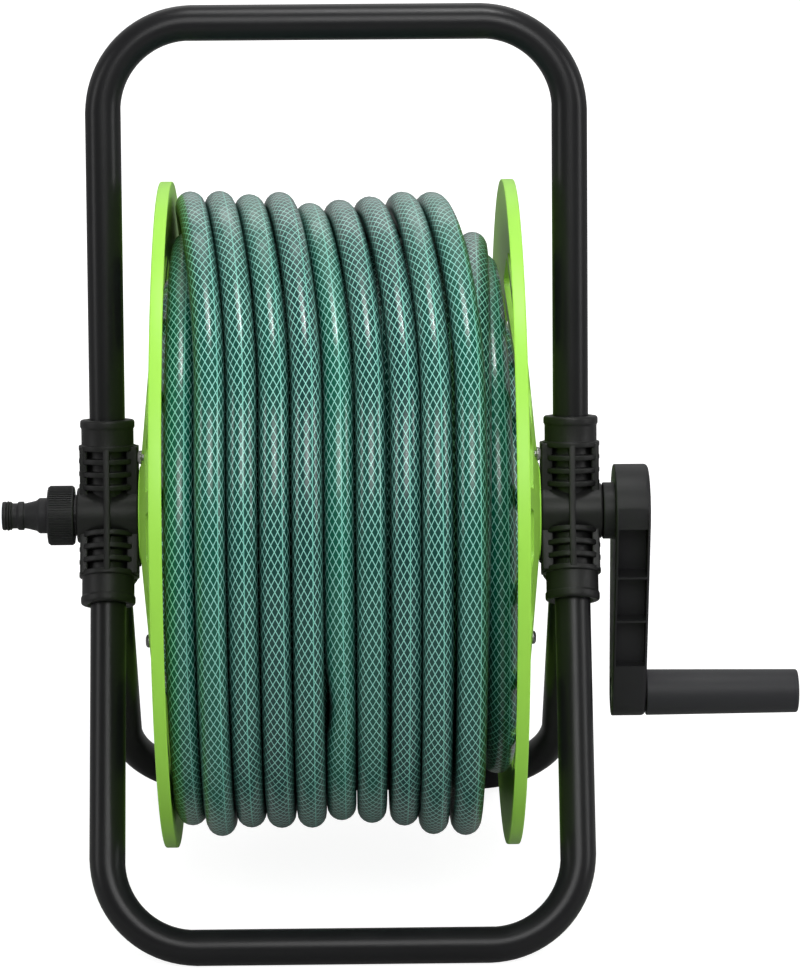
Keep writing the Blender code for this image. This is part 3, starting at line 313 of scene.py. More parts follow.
# Stage: a pale floor, a white surround that is brighter behind than in front, and soft studio lamps,
# the strongest of them high in front
stageSizes = {"ambient": 0.42, "mirrorFront": 0.11, "mirrorBack": 0.50, "floor": (0.40, 0.40, 0.40, 1),
              "floorHalf": 9, "floorNear": 0.88, "floorFar": 1.0, "clearFrom": 0.35, "clearTo": 1.1}
lamps = {
    "overhead": {"place": (0.05, 0.0, 1.40), "size": (0.5, 0.5), "power": 5},
    "front": {"place": (0.15, -1.7, 1.35), "size": (1.3, 1.0), "power": 18},
    "highGlint": {"place": (0.30, -0.1, 1.75), "size": (0.18, 0.18), "power": 3.2},
    "lowGlint": {"place": (0.3, -1.8, 1.35), "size": (0.18, 0.18), "power": 1.6},
    "leftFill": {"place": (-1.9, -0.6, 0.7), "size": (0.5, 1.3), "power": 6.5},
    "rightFill": {"place": (1.9, -0.6, 0.7), "size": (0.5, 1.3), "power": 9},
    "back": {"place": (0.0, 1.6, 1.3), "size": (1.8, 0.9), "power": 3},
}


def makeSurround(sizes):
    world = bpy.data.worlds.new("surround")
    scene.world = world
    world.use_nodes = True
    tree = world.node_tree
    rays = addNode(tree, "ShaderNodeLightPath").outputs
    way = addNode(tree, "ShaderNodeTexCoord").outputs["Generated"]
    backwards = addNode(tree, "ShaderNodeSeparateXYZ", way).outputs["Y"]
    mirrored = ranged(tree, backwards, -0.2, 0.7, sizes["mirrorFront"], sizes["mirrorBack"])
    seen = calc(tree, "MAXIMUM", rays["Is Camera Ray"], rays["Is Transmission Ray"])
    change = calc(tree, "SUBTRACT", mirrored, sizes["ambient"])
    lit = calc(tree, "MULTIPLY_ADD", rays["Is Glossy Ray"], change, sizes["ambient"])
    sky = tree.nodes["Background"]
    sky.inputs["Color"].default_value = (1, 1, 1, 1)
    tree.links.new(calc(tree, "MAXIMUM", seen, lit), sky.inputs["Strength"])


def makeFloor(sizes):
    bm = bmesh.new()
    bmesh.ops.create_grid(bm, x_segments=1, y_segments=1, size=sizes["floorHalf"])
    mesh = bpy.data.meshes.new("floor")
    bm.to_mesh(mesh)
    bm.free()
    floor = bpy.data.objects.new("floor", mesh)
    scene.collection.objects.link(floor)
    paint = bpy.data.materials.new("floorPaint")
    paint.use_nodes = True
    tree = paint.node_tree
    shader = tree.nodes["Principled BSDF"]
    shader.inputs["Base Color"].default_value = sizes["floor"]
    shader.inputs["Roughness"].default_value = 0.9
    shader.inputs["Specular IOR Level"].default_value = 0.0
    shader.inputs["Emission Color"].default_value = (1, 1, 1, 1)
    place = addNode(tree, "ShaderNodeTexCoord").outputs["Object"]
    away = addNode(tree, "ShaderNodeVectorMath", place, operation="LENGTH").outputs["Value"]
    clear = ranged(tree, away, sizes["clearFrom"], sizes["clearTo"], sizes["floorNear"], sizes["floorFar"])
    seen = addNode(tree, "ShaderNodeLightPath").outputs["Is Camera Ray"]
    tree.links.new(calc(tree, "MULTIPLY", seen, clear), shader.inputs["Emission Strength"])
    mesh.materials.append(paint)


def makeLamps():
    for name, sizes in lamps.items():
        data = bpy.data.lights.new(name, "AREA")
        data.shape = "RECTANGLE"
        data.size, data.size_y = sizes["size"]
        data.energy = sizes["power"]
        lamp = bpy.data.objects.new(name, data)
        scene.collection.objects.link(lamp)
        lamp.location = axle + Vector(sizes["place"])
        lamp.rotation_euler = (axle - lamp.location).to_track_quat("-Z", "Y").to_euler()


makeSurround(stageSizes)
makeFloor(stageSizes)
makeLamps()
print("stage set")


# Mesh helpers. Pieces are made about the axle's middle and moved to it at the end
mergeWithin = 2e-6
edgeShare = 0.48  # how much of an edge the round at one of its ends may take


def cleaned(bm):
    bmesh.ops.remove_doubles(bm, verts=bm.verts, dist=mergeWithin)
    bmesh.ops.recalc_face_normals(bm, faces=bm.faces)
    mesh = bpy.data.meshes.new("shape")
    bm.to_mesh(mesh)
    bm.free()
    return mesh


def turned(profile, sides=64, closed=False):
    bm = bmesh.new()
    corners = [bm.verts.new((x, 0, radius)) for x, radius in profile]
    edges = [bm.edges.new(pair) for pair in zip(corners, corners[1:])]
    if closed:
        edges.append(bm.edges.new((corners[-1], corners[0])))
    bmesh.ops.spin(bm, geom=corners + edges, axis=(1, 0, 0), cent=(0, 0, 0), angle=math.tau, steps=sides,
                   use_merge=True)
    return cleaned(bm)


# Points of a profile with its corners rounded, each corner being (x, radius, round)
def roundedProfile(corners, steps=4, closed=False):
    points = []
    count = len(corners)
    for index, (x, radius, soft) in enumerate(corners):
        here = Vector((x, radius))
        atEnd = not closed and index in (0, count - 1)
        if soft == 0 or atEnd:
            points.append((x, radius))
            continue
        before = Vector(corners[index - 1][:2]) - here
        after = Vector(corners[(index + 1) % count][:2]) - here
        reach = min(soft, before.length * edgeShare, after.length * edgeShare)
        start, end = here + before.normalized() * reach, here + after.normalized() * reach
        for step in range(steps + 1):
            t = step / steps
            spot = start * (1 - t) ** 2 + here * 2 * t * (1 - t) + end * t ** 2
            points.append((spot.x, spot.y))
    return points


# A turned piece from corners like those, whose values are numbers or the names of sizes
def lathe(sizes, corners, sides=64, steps=4, closed=False):
    named = [[sizes.get(value, value) for value in corner] for corner in corners]
    return turned(roundedProfile(named, steps, closed), sides, closed)


# A closed skin through rings of points that match one to one
def lofted(rings):
    bm = bmesh.new()
    made = [[bm.verts.new(point) for point in ring] for ring in rings]
    for ring, following in zip(made, made[1:]):
        for index in range(len(ring)):
            after = (index + 1) % len(ring)
            bm.faces.new((ring[index], ring[after], following[after], following[index]))
    bm.faces.new(made[0])
    bm.faces.new(made[-1])
    return cleaned(bm)


def extruded(outline, start, end):
    return lofted([[(x, y, z) for y, z in outline] for x in (start, end)])


def block(low, high):
    bm = bmesh.new()
    bmesh.ops.create_cube(bm, size=1)
    bmesh.ops.scale(bm, vec=Vector(high) - Vector(low), verts=bm.verts)
    bmesh.ops.translate(bm, vec=(Vector(high) + Vector(low)) / 2, verts=bm.verts)
    return cleaned(bm)


def rod(start, end, radius, sides=48):
    return turned([(start, 0), (start, radius), (end, radius), (end, 0)], sides)


def moved(mesh, matrix):
    mesh.transform(matrix)
    if matrix.determinant() < 0:
        mesh.flip_normals()
    return mesh


def alongZ(mesh):
    return moved(mesh, Matrix.Rotation(-math.pi / 2, 4, "Y"))


def evaluated(piece):
    graph = bpy.context.evaluated_depsgraph_get()
    result = bpy.data.meshes.new_from_object(piece.evaluated_get(graph))
    bpy.data.objects.remove(piece, do_unlink=True)
    return result


def working(mesh, name="work"):
    made = bpy.data.objects.new(name, mesh)
    scene.collection.objects.link(made)
    return made


def combined(base, steps):
    piece = working(base)
    tools = []
    for operation, mesh in steps:
        tools.append(working(mesh, "tool"))
        step = piece.modifiers.new("step", "BOOLEAN")
        step.operation = operation
        step.object = tools[-1]
    result = evaluated(piece)
    for tool in tools:
        bpy.data.objects.remove(tool, do_unlink=True)
    bm = bmesh.new()
    bm.from_mesh(result)
    bmesh.ops.dissolve_degenerate(bm, dist=mergeWithin, edges=bm.edges)
    return cleaned(bm)


def bevelled(mesh, width, segments=2, angle=35):
    piece = working(mesh)
    step = piece.modifiers.new("edges", "BEVEL")
    step.width = width
    step.segments = segments
    step.limit_method = "ANGLE"
    step.angle_limit = math.radians(angle)
    step.use_clamp_overlap = True
    return evaluated(piece)


def joined(meshes):
    bm = bmesh.new()
    for mesh in meshes:
        bm.from_mesh(mesh)
    return cleaned(bm)


# Puts a finished mesh in the scene on its body, in place of the nodes that it stands for
def addPiece(name, mesh, material, body, *nodes, place=(0, 0, 0), sharp=40):
    mesh.transform(Matrix.Translation(axle + Vector(place)))
    made = working(mesh, name)
    mesh.materials.clear()
    mesh.materials.append(material)
    mesh.polygons.foreach_set("material_index", [0] * len(mesh.polygons))
    mesh.shade_smooth()
    mesh.set_sharp_from_angle(angle=math.radians(sharp))
    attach(made, body)
    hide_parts(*nodes)
    return made


# A piece made for the right-hand side, and its mirror image on the left
def addPair(word, mesh, material, body, apart=0.0):
    sides = {"left": (moved(mesh.copy(), mirrorX), -apart), "right": (mesh, apart)}
    for side, (shape, place) in sides.items():
        addPiece(side + word, shape, material, body, side + "_" + word.lower(), place=(place, 0, 0))


# Runs a tree of geometry nodes on a carrier mesh and returns the result as a plain mesh
def grown(tree, carrierMesh, **values):
    carrier = working(carrierMesh, "carrier")
    made = carrier.modifiers.new("grown", "NODES")
    made.node_group = tree
    for item in tree.interface.items_tree:
        label = item.name.replace(" ", "")
        if item.in_out == "INPUT" and values.get(label) is not None:
            made[item.identifier] = values[label]
    return evaluated(carrier)


# Places the copied object on points, each turned its own way, as one real mesh with its finish
def placeCopies(tree, given, out, points, turn):
    info = addNode(tree, "GeometryNodeObjectInfo", given["Copied"])
    placed = tree.nodes.new("GeometryNodeInstanceOnPoints")
    tree.links.new(points, placed.inputs["Points"])
    tree.links.new(info.outputs["Geometry"], placed.inputs["Instance"])
    tree.links.new(turn, placed.inputs["Rotation"])
    real = addNode(tree, "GeometryNodeRealizeInstances", placed.outputs[0])
    finished = tree.nodes.new("GeometryNodeSetMaterial")
    tree.links.new(real.outputs[0], finished.inputs["Geometry"])
    tree.links.new(given["Finish"], finished.inputs["Material"])
    tree.links.new(finished.outputs[0], out["Geometry"])


# A ring of copies round the X axis
def makeRingTree():
    tree, given, out = newGroup(
        "ringOfCopies",
        [("Geometry", "Geometry", None), ("Copied", "Object", None), ("Count", "Int", 6),
         ("First Angle", "Float", 0.0), ("Finish", "Material", None)],
        [("Geometry", "Geometry")], "GeometryNodeTree")
    points = addNode(tree, "GeometryNodePoints", given["Count"]).outputs[0]
    step = calc(tree, "DIVIDE", math.tau, given["Count"])
    index = addNode(tree, "GeometryNodeInputIndex").outputs[0]
    turn = calc(tree, "MULTIPLY_ADD", index, step, given["First Angle"])
    placeCopies(tree, given, out, points, addNode(tree, "ShaderNodeCombineXYZ", turn, 0.0, 0.0).outputs[0])
    return tree


# Copies on the carrier's points, each with its X axis along the point's aim
def makePointTree():
    tree, given, out = newGroup(
        "copiesOnPoints",
        [("Geometry", "Geometry", None), ("Copied", "Object", None), ("Finish", "Material", None)],
        [("Geometry", "Geometry")], "GeometryNodeTree")
    aim = addNode(tree, "GeometryNodeInputNamedAttribute", "aim", data_type="FLOAT_VECTOR")
    turn = tree.nodes.new("FunctionNodeAlignRotationToVector")
    turn.axis = "X"
    tree.links.new(aim.outputs["Attribute"], turn.inputs["Vector"])
    placeCopies(tree, given, out, given["Geometry"], turn.outputs[0])
    return tree


ringTree, pointTree = makeRingTree(), makePointTree()


def copied(tree, mesh, carrier, **values):
    source = working(mesh, "copied")
    result = grown(tree, carrier, Copied=source, **values)
    bpy.data.objects.remove(source, do_unlink=True)
    return result


def ringOfCopies(mesh, count, firstAngle=0.0):
    return copied(ringTree, mesh, bpy.data.meshes.new("carrier"), Count=count, FirstAngle=firstAngle)


def copiesAt(mesh, places, material):
    carrier = bpy.data.meshes.new("carrier")
    carrier.from_pydata([tuple(point) for point, aim in places], [], [])
    aims = carrier.attributes.new("aim", "FLOAT_VECTOR", "POINT")
    for index, (point, aim) in enumerate(places):
        aims.data[index].vector = aim
    return copied(pointTree, mesh, carrier, Finish=material)


# Stand: three bent tubes
tubeSizes = {"diameter": 0.019, "bend": 0.047, "start": 0.020, "sides": 40, "bendSteps": 20, "flatten": 0.035}
# For each tube: lean in degrees, whether it goes down, and the height of its bar from the axle
leans = {"handle_tube": (13.5, False, 0.2545), "front_leg_tube": (30.4, True, 0.200),
         "rear_leg_tube": (-30.0, True, 0.200)}


# Turns what stands up along Z to the way of that tube
def leanOf(node):
    lean, downwards, height = leans[node]
    turn = (math.pi if downwards else 0) - math.radians(lean)
    return Matrix.Rotation(turn, 4, "X")


def sweptTube(points, radius, sides, squeeze=None):
    rings = []
    for index, point in enumerate(points):
        ahead = (points[min(index + 1, len(points) - 1)] - points[max(index - 1, 0)]).normalized()
        outwards = Vector((-ahead.z, 0, ahead.x))
        thin = 1 - (squeeze[index] if squeeze else 0)
        ring = []
        for step in range(sides):
            angle = math.tau * (step + 0.5) / sides
            offset = outwards * math.cos(angle) * radius * thin + Vector((0, 1, 0)) * math.sin(angle) * radius
            ring.append(point + offset)
        rings.append(ring)
    return lofted(rings)


def makeTube(node, sizes):
    lean, downwards, height = leans[node]
    reach = height / math.cos(math.radians(lean))
    across, along = sideways.x - sizes["bend"], reach - sizes["bend"]
    half = [(Vector((-sideways.x, 0, sizes["start"])), 0.0)]
    for step in range(sizes["bendSteps"] + 1):
        angle = math.pi / 2 * step / sizes["bendSteps"]
        spot = Vector((-across - sizes["bend"] * math.cos(angle), 0, along + sizes["bend"] * math.sin(angle)))
        inBend = 0 < step < sizes["bendSteps"]
        half.append((spot, sizes["flatten"] * math.sin(2 * angle) ** 0.5 if inBend else 0.0))
    path = half + [(Vector((-spot.x, 0, spot.z)), squeeze) for spot, squeeze in reversed(half)]
    spots, squeezes = [spot for spot, squeeze in path], [squeeze for spot, squeeze in path]
    mesh = sweptTube(spots, sizes["diameter"] / 2, sizes["sides"], squeezes)
    words = node.split("_")
    name = words[0] + "".join(word.capitalize() for word in words[1:])
    addPiece(name, moved(mesh, leanOf(node)), powderCoat, "frame", node)


for node in leans:
    makeTube(node, tubeSizes)
print("tubes bent")


# Brackets: three ribbed sockets and a boss, with a spine down the front and the back. Plain cheeks
# stand at the ends of the ribs: one on the side of the drum, and a lower one on the outside
bracketSizes = {"core": 0.0108, "rib": 0.0155, "collar": 0.0140, "ribWidth": 0.0030, "ribPitch": 0.0069,
                "ribs": 4, "round": 0.0008, "foot": 0.0005, "collarRound": 0.0026, "lip": 0.0146,
                "lipLength": 0.0024, "lipRise": 0.0008, "lipRound": 0.0006, "mouthEdge": 0.0012,
                "spineWidth": 0.0034, "spineRise": 0.0002, "spineRound": 0.0005, "boss": 0.0148,
                "bossHalf": 0.0165, "bossRound": 0.0012, "bore": 0.0114, "socket": 0.0098, "sides": 64}
cheeks = {"drumSide": {"from": -0.0163, "to": -0.0100, "half": 0.0085, "round": 0.0008},
          "outside": {"from": 0.0104, "to": 0.0147, "half": 0.0088, "round": 0.0008}}
# Distance from the axle to the first rib, to the mouth of each socket and to the end of its cheeks
socketSizes = {"handle_tube": (0.0156, 0.0514, 0.0372), "front_leg_tube": (0.0120, 0.0490, 0.0335),
               "rear_leg_tube": (0.0120, 0.0490, 0.0335)}


def socketShape(firstRib, mouth, sizes):
    corners = [(0, 0, 0), (0, "core", 0)]
    for index in range(sizes["ribs"]):
        middle = firstRib + index * sizes["ribPitch"]
        low, high = middle - sizes["ribWidth"] / 2, middle + sizes["ribWidth"] / 2
        after = "collar" if index == sizes["ribs"] - 1 else "core"
        corners += [(low, "core", "foot"), (low, "rib", "round")]
        corners += [(high, "rib", "round"), (high, after, "foot")]
    lip, floor = mouth - sizes["lipLength"] * 2, mouth - sizes["mouthEdge"]
    corners += [(lip, "collar", "lipRound"), (lip + sizes["lipRise"], "lip", "lipRound")]
    corners += [(mouth, "lip", "collarRound"), (mouth, sizes["socket"] + sizes["mouthEdge"], "lipRound")]
    corners += [(floor, sizes["socket"] - 0.0002, 0), (floor, 0, 0)]
    return alongZ(lathe(sizes, corners, sizes["sides"]))


# A flat star with one arm down the middle of each socket
def threeArms(reaches, halfWidth, start, end):
    arms = []
    for node, reach in reaches.items():
        way = leanOf(node) @ Vector((0, 0, 1))
        arms.append((math.atan2(way.y, way.z) % math.tau, reach))
    arms.sort()
    outline = []
    for index, (angle, length) in enumerate(arms):
        between = ((arms[(index + 1) % 3][0] - angle) % math.tau) / 2
        along = Vector((math.sin(angle), math.cos(angle))) * length
        across = Vector((math.cos(angle), -math.sin(angle))) * halfWidth
        corner = Vector((math.sin(angle + between), math.cos(angle + between)))
        outline += [along - across, along + across, corner * halfWidth / math.sin(between)]
    return extruded(outline, start, end)


def makeBracket(sizes):
    half, halfSpine = sizes["bossHalf"], sizes["spineWidth"] / 2
    boss = [(-half, 0, 0), (-half, "boss", "bossRound"), (half, "boss", "bossRound"), (half, 0, 0)]
    tools = []
    ribbed, cheekEnds = {}, {}
    for node, (firstRib, mouth, cheekEnds[node]) in socketSizes.items():
        ribbed[node] = firstRib + (sizes["ribs"] - 1) * sizes["ribPitch"]
        tools.append(moved(socketShape(firstRib, mouth, sizes), leanOf(node)))
    spine = threeArms(ribbed, sizes["rib"] + sizes["spineRise"], -halfSpine, halfSpine)
    tools.append(bevelled(spine, sizes["spineRound"]))
    for cheek in cheeks.values():
        plate = threeArms(cheekEnds, cheek["half"], cheek["from"], cheek["to"])
        tools.append(bevelled(plate, cheek["round"], 3))
    bore = rod(-2 * half, 2 * half, sizes["bore"], sizes["sides"])
    steps = [("UNION", tool) for tool in tools] + [("DIFFERENCE", bore)]
    return combined(lathe(sizes, boss, sizes["sides"]), steps)


addPair("Bracket", makeBracket(bracketSizes), bracketPlastic, "frame", sideways.x)
print("brackets moulded")


# Flanges: dished plates with a rim lip and a ring of windows
flangeSizes = {"radius": 0.178, "rimFace": 0.0873, "rimRound": 0.0009, "slope": 0.105, "wall": 0.0032,
               "rimWidth": 0.0067, "rimWall": 0.0031, "lipRound": 0.0006, "footRound": 0.0012, "hub": 0.026,
               "hubRise": 0.0004, "hubStep": 0.0006, "hubFoot": 0.0002, "hubSeat": 0.034, "bore": 0.0114,
               "boreRound": 0.0004, "windows": 16, "windowInner": 0.088, "windowOuter": 0.138,
               "spoke": 0.011, "windowRound": 0.006, "windowFootRound": 0.0035, "barrel": 0.0756,
               "ledge": 0.0045, "ledgeDepth": 0.0029, "sides": 192}


def dishInside(radius, sizes=flangeSizes):
    return sizes["rimFace"] + sizes["slope"] * (sizes["radius"] - radius)


def windowOutline(sizes):
    step = math.pi / sizes["windows"]
    corners = []
    for radius in (sizes["windowInner"], sizes["windowOuter"]):
        corners.append((radius * math.tan(step) - sizes["spoke"] / 2 / math.cos(step), radius))
    (lowHalf, low), (highHalf, high) = corners
    soft, footSoft = sizes["windowRound"], sizes["windowFootRound"]
    loop = [(-lowHalf, low, footSoft), (lowHalf, low, footSoft)]
    loop += [(highHalf, high, soft), (-highHalf, high, soft)]
    return roundedProfile(loop, 6, closed=True)


def makeFlange(sizes):
    rim, lip = sizes["rimFace"], sizes["rimFace"] + sizes["rimWidth"]
    inside = sizes["radius"] - sizes["rimWall"]
    hubEnd = dishInside(sizes["hub"]) + sizes["wall"] + sizes["hubRise"]
    ledge, ledgeIn = sizes["barrel"] + sizes["ledge"], sizes["barrel"] - sizes["ledgeDepth"]
    seat = dishInside(sizes["hubSeat"])
    corners = [
        (hubEnd, "bore", "boreRound"), (hubEnd, "hub", "hubStep"),
        (hubEnd - sizes["hubStep"], sizes["hub"] + sizes["hubFoot"], 0),
        (dishInside(inside) + sizes["wall"], inside, "footRound"), (lip, inside, "lipRound"),
        (lip, "radius", "rimRound"), (rim, "radius", "rimRound"),
        (dishInside(ledge), ledge, 0), (dishInside(ledge), ledgeIn, 0), (dishInside(ledgeIn), ledgeIn, 0),
        (seat, "hubSeat", 0), (seat, "bore", "boreRound"),
    ]
    shape = lathe(sizes, corners, sizes["sides"], closed=True)
    window = extruded(windowOutline(sizes), rim, hubEnd + 0.01)
    windows = ringOfCopies(window, sizes["windows"], math.pi / sizes["windows"])
    return combined(shape, [("DIFFERENCE", windows)])


addPair("Flange", makeFlange(flangeSizes), limePlastic, "drum")
print("flanges moulded")


# Crank: a drop-shaped arm with a channel on both edges, cross ribs, and a neck on the axle
crankSizes = {"hub": 0.025, "end": 0.0126, "throw": 0.105, "inner": 0.1469, "outer": 0.1654,
              "innerRound": 0.0007, "outerRound": 0.0024, "roundSteps": 4, "neck": 0.0152,
              "neckRound": 0.0008, "neckStart": 0.1409, "plate": 0.0014, "web": 0.016, "channelTop": 0.0102,
              "channelFloor": 0.0235, "pocketTop": -0.0030, "pocketBottom": -0.0840,
              "ribs": (-0.0312, -0.0572), "ribWall": 0.0012, "square": 0.01475, "squareEnd": 0.1573,
              "screwWay": 0.0034, "washerSeat": 0.1592, "washerWay": 0.0078, "boltWay": 0.0063,
              "nutWay": 0.0096, "nutEnd": 0.1534, "cutStart": 0.13, "cutEnd": 0.17, "overlap": 0.001}


# Two circles and the lines that touch both, as (x, y, z) points
def dropRing(x, inset, sizes, parts=48):
    hub, end, throw = sizes["hub"] - inset, sizes["end"] - inset, sizes["throw"]
    tilt = math.asin((hub - end) / throw)
    ring = []
    for index in range(parts + 1):
        angle = -tilt + (math.pi + 2 * tilt) * index / parts
        ring.append((x, -hub * math.cos(angle), hub * math.sin(angle)))
    for index in range(parts // 2 + 1):
        angle = math.pi + tilt + (math.pi - 2 * tilt) * index / (parts // 2)
        ring.append((x, -end * math.cos(angle), -throw + end * math.sin(angle)))
    return ring


def makeCrankArm(sizes):
    rings = []
    for face, way in (("inner", 1), ("outer", -1)):
        soft, count = sizes[face + "Round"], sizes["roundSteps"]
        for step in range(count + 1)[::way]:
            angle = math.pi / 2 * step / count
            depth, inset = soft * (1 - math.cos(angle)), soft * (1 - math.sin(angle))
            rings.append(dropRing(sizes[face] + way * depth, inset, sizes))
    low, high = sizes["inner"] + sizes["plate"], sizes["outer"] - sizes["plate"]
    edges = [sizes["pocketTop"]]
    for rib in sizes["ribs"]:
        edges += [rib + sizes["ribWall"] / 2, rib - sizes["ribWall"] / 2]
    edges.append(sizes["pocketBottom"])
    far = sizes["hub"] * 2
    pockets = []
    for top, bottom in zip(edges[::2], edges[1::2]):
        pockets.append(block((low, sizes["web"] / 2, bottom), (high, far, top)))
        pockets.append(block((low, -far, bottom), (high, -sizes["web"] / 2, top)))
    for way in (-1, 1):
        near, away = sorted((way * sizes["channelFloor"], way * far))
        bottom, top = sizes["pocketTop"] - sizes["overlap"], sizes["channelTop"]
        pockets.append(block((low, near, bottom), (high, away, top)))
    corners = [("neckStart", 0, 0), ("neckStart", "neck", "neckRound"), (low, "neck", 0), (low, 0, 0)]
    neck = lathe(sizes, corners)
    half = sizes["square"] / 2
    start, end, squareEnd = sizes["cutStart"], sizes["cutEnd"], sizes["squareEnd"]
    down = Matrix.Translation((0, 0, -sizes["throw"]))
    holes = [block((start, -half, -half), (squareEnd, half, half)),
             rod(squareEnd - sizes["overlap"], end, sizes["screwWay"], 24),
             rod(sizes["washerSeat"], end, sizes["washerWay"]),
             moved(rod(start, end, sizes["boltWay"], 32), down),
             moved(rod(start, sizes["nutEnd"], sizes["nutWay"], 6), down)]
    return combined(lofted(rings), [("UNION", neck)] + [("DIFFERENCE", tool) for tool in pockets + holes])


addPiece("crankArm", makeCrankArm(crankSizes), crankPlastic, "drum", "crank_arm", sharp=35)
print("crank moulded")


# Grip: a tapered sleeve on a bolt with a socket head
gripSizes = {"start": 0.1658, "end": 0.2488, "startRadius": 0.0125, "endRadius": 0.0118, "startRound": 0.0008,
             "endRound": 0.0024, "bore": 0.0066, "recess": 0.0086, "seat": 0.2423, "boltEnd": 0.2472,
             "boltFace": 0.2427, "boltHead": 0.0080, "bolt": 0.0060, "boltStart": 0.1475, "key": 0.0046,
             "keyDepth": 0.0028}


def makeGrip(sizes):
    corners = [("start", "bore", 0.0004), ("start", "startRadius", "startRound"),
               ("end", "endRadius", "endRound"), ("end", "recess", 0.0008), ("seat", "recess", 0),
               ("seat", "bore", 0)]
    return lathe(sizes, corners, 96, 8, closed=True)


def makeGripBolt(sizes):
    corners = [("boltStart", 0, 0), ("boltStart", "bolt", 0.0005), ("boltFace", "bolt", 0),
               ("boltFace", "boltHead", 0.0003), ("boltEnd", "boltHead", 0.0009), ("boltEnd", 0, 0)]
    key = rod(sizes["boltEnd"] - sizes["keyDepth"], sizes["boltEnd"] + 0.001, sizes["key"], 6)
    return combined(lathe(sizes, corners, 48), [("DIFFERENCE", key)])


gripPlace = (0, 0, -crankSizes["throw"])
addPiece("grip", makeGrip(gripSizes), gripPlastic, "grip", "grip", place=gripPlace)
addPiece("gripBolt", makeGripBolt(gripSizes), zincSteel, "drum", "grip_bolt", place=gripPlace)
print("grip turned")


# Inlet: a knurled nut and the nipple that a connector snaps on to, made for the right and mirrored
inletSizes = {"nutInner": 0.1421, "nutOuter": 0.1562, "nut": 0.0155, "knurlRise": 0.0005, "knurls": 72,
              "knurlWidth": 0.0008, "knurlFoot": 0.0003, "knurlInset": 0.0009, "knurlOutset": 0.0011,
              "collar": 0.00955, "collarEnd": 0.1611, "neck": 0.0082, "neckStart": 0.1623, "waist": 0.0068,
              "waistStart": 0.1682, "land": 0.0077, "catch": 0.1692, "catchEnd": 0.1721, "dipStart": 0.1727,
              "dipEnd": 0.1754, "lip": 0.1760, "groove": 0.1766, "grooveEnd": 0.1786, "seat": 0.0062,
              "tip": 0.1808, "bore": 0.0046, "thread": 0.0103, "boreStart": 0.1542, "seal": 0.00078,
              "sealRadius": 0.00715}


def makeInlet(sizes):
    corners = [
        ("nutInner", "thread", 0), ("nutInner", "nut", 0.0007), ("nutOuter", "nut", 0.0010),
        ("nutOuter", "collar", 0.0003), ("collarEnd", "collar", 0.0012), ("neckStart", "neck", 0.0008),
        ("waistStart", "waist", 0.0006), ("catch", "waist", 0.0003), ("catch", "land", 0.0004),
        ("catchEnd", "land", 0.0006), ("dipStart", "waist", 0.0004), ("dipEnd", "waist", 0.0004),
        ("lip", "land", 0.0002), ("groove", "land", 0.0001), ("groove", "seat", 0), ("grooveEnd", "seat", 0),
        ("grooveEnd", "land", 0.0003), ("tip", "land", 0.0009), ("tip", "bore", 0.0005),
        ("boreStart", "bore", 0), ("boreStart", "thread", 0),
    ]
    body = lathe(sizes, corners, 72, closed=True)
    half, quarter = sizes["knurlWidth"] / 2, sizes["knurlWidth"] / 4
    foot, top = sizes["nut"] - sizes["knurlFoot"], sizes["nut"] + sizes["knurlRise"]
    outline = [(-half, foot), (half, foot), (quarter, top), (-quarter, top)]
    start, end = sizes["nutInner"] + sizes["knurlInset"], sizes["nutOuter"] - sizes["knurlOutset"]
    knurl = extruded(outline, start, end)
    return moved(joined([body, ringOfCopies(knurl, sizes["knurls"])]), mirrorX)


def makeSeal(sizes):
    middle, seal = (sizes["groove"] + sizes["grooveEnd"]) / 2, sizes["seal"]
    circle = []
    for step in range(16):
        angle = math.tau * step / 16
        circle.append((middle + seal * math.cos(angle), sizes["sealRadius"] + seal * math.sin(angle)))
    return moved(turned(circle, 64, closed=True), mirrorX)


addPiece("inletAdaptor", makeInlet(inletSizes), crankPlastic, "drum", "inlet_adaptor", sharp=30)
addPiece("nippleSeal", makeSeal(inletSizes), sealRubber, "drum", "nipple_o_ring", sharp=80)
print("inlet turned")


# Screws: pan heads with a cross recess, one head shape on each node's place
screwKinds = {
    "bracket_screw": {"count": 6, "length": 0.0090, "body": "frame"},
    "flange_screw": {"count": 6, "length": 0.0194, "body": "drum"},
    "plate_screw": {"count": 4, "length": 0.0067, "body": "drum"},
    "crank_screw": {"count": 0, "length": 0.0175, "body": "drum"},
}
headSizes = {"head": 0.0036, "rise": 0.0022, "shank": 0.0017, "cross": 0.0009, "crossLength": 0.0042,
             "crossDepth": 0.0013}
crankHeadSizes = {"head": 0.0058, "rise": 0.0034, "shank": 0.0029, "cross": 0.0015, "crossLength": 0.0068,
                  "crossDepth": 0.0021}


def screwShape(length, sizes):
    rise, head = sizes["rise"], sizes["head"]
    corners = [(-rise - length, 0, 0), (-rise - length, "shank", 0.0006), (-rise, "shank", 0),
               (-rise, head, 0.0003), (-rise * 0.4, head * 0.99, 0.0008), (0, head * 0.62, 0.0012), (0, 0, 0)]
    half, reach, depth = sizes["cross"] / 2, sizes["crossLength"] / 2, sizes["crossDepth"]
    cuts = []
    for y, z in ((half, reach), (reach, half)):
        cuts.append(("DIFFERENCE", block((-depth, -y, -z), (0.001, y, z))))
    return combined(lathe(sizes, corners, 32), cuts)


def pointsOf(node):
    mesh = frame["nodes"][node].data
    points = np.empty(len(mesh.vertices) * 3, np.float32)
    mesh.vertices.foreach_get("co", points)
    return points.reshape(-1, 3).astype(float)


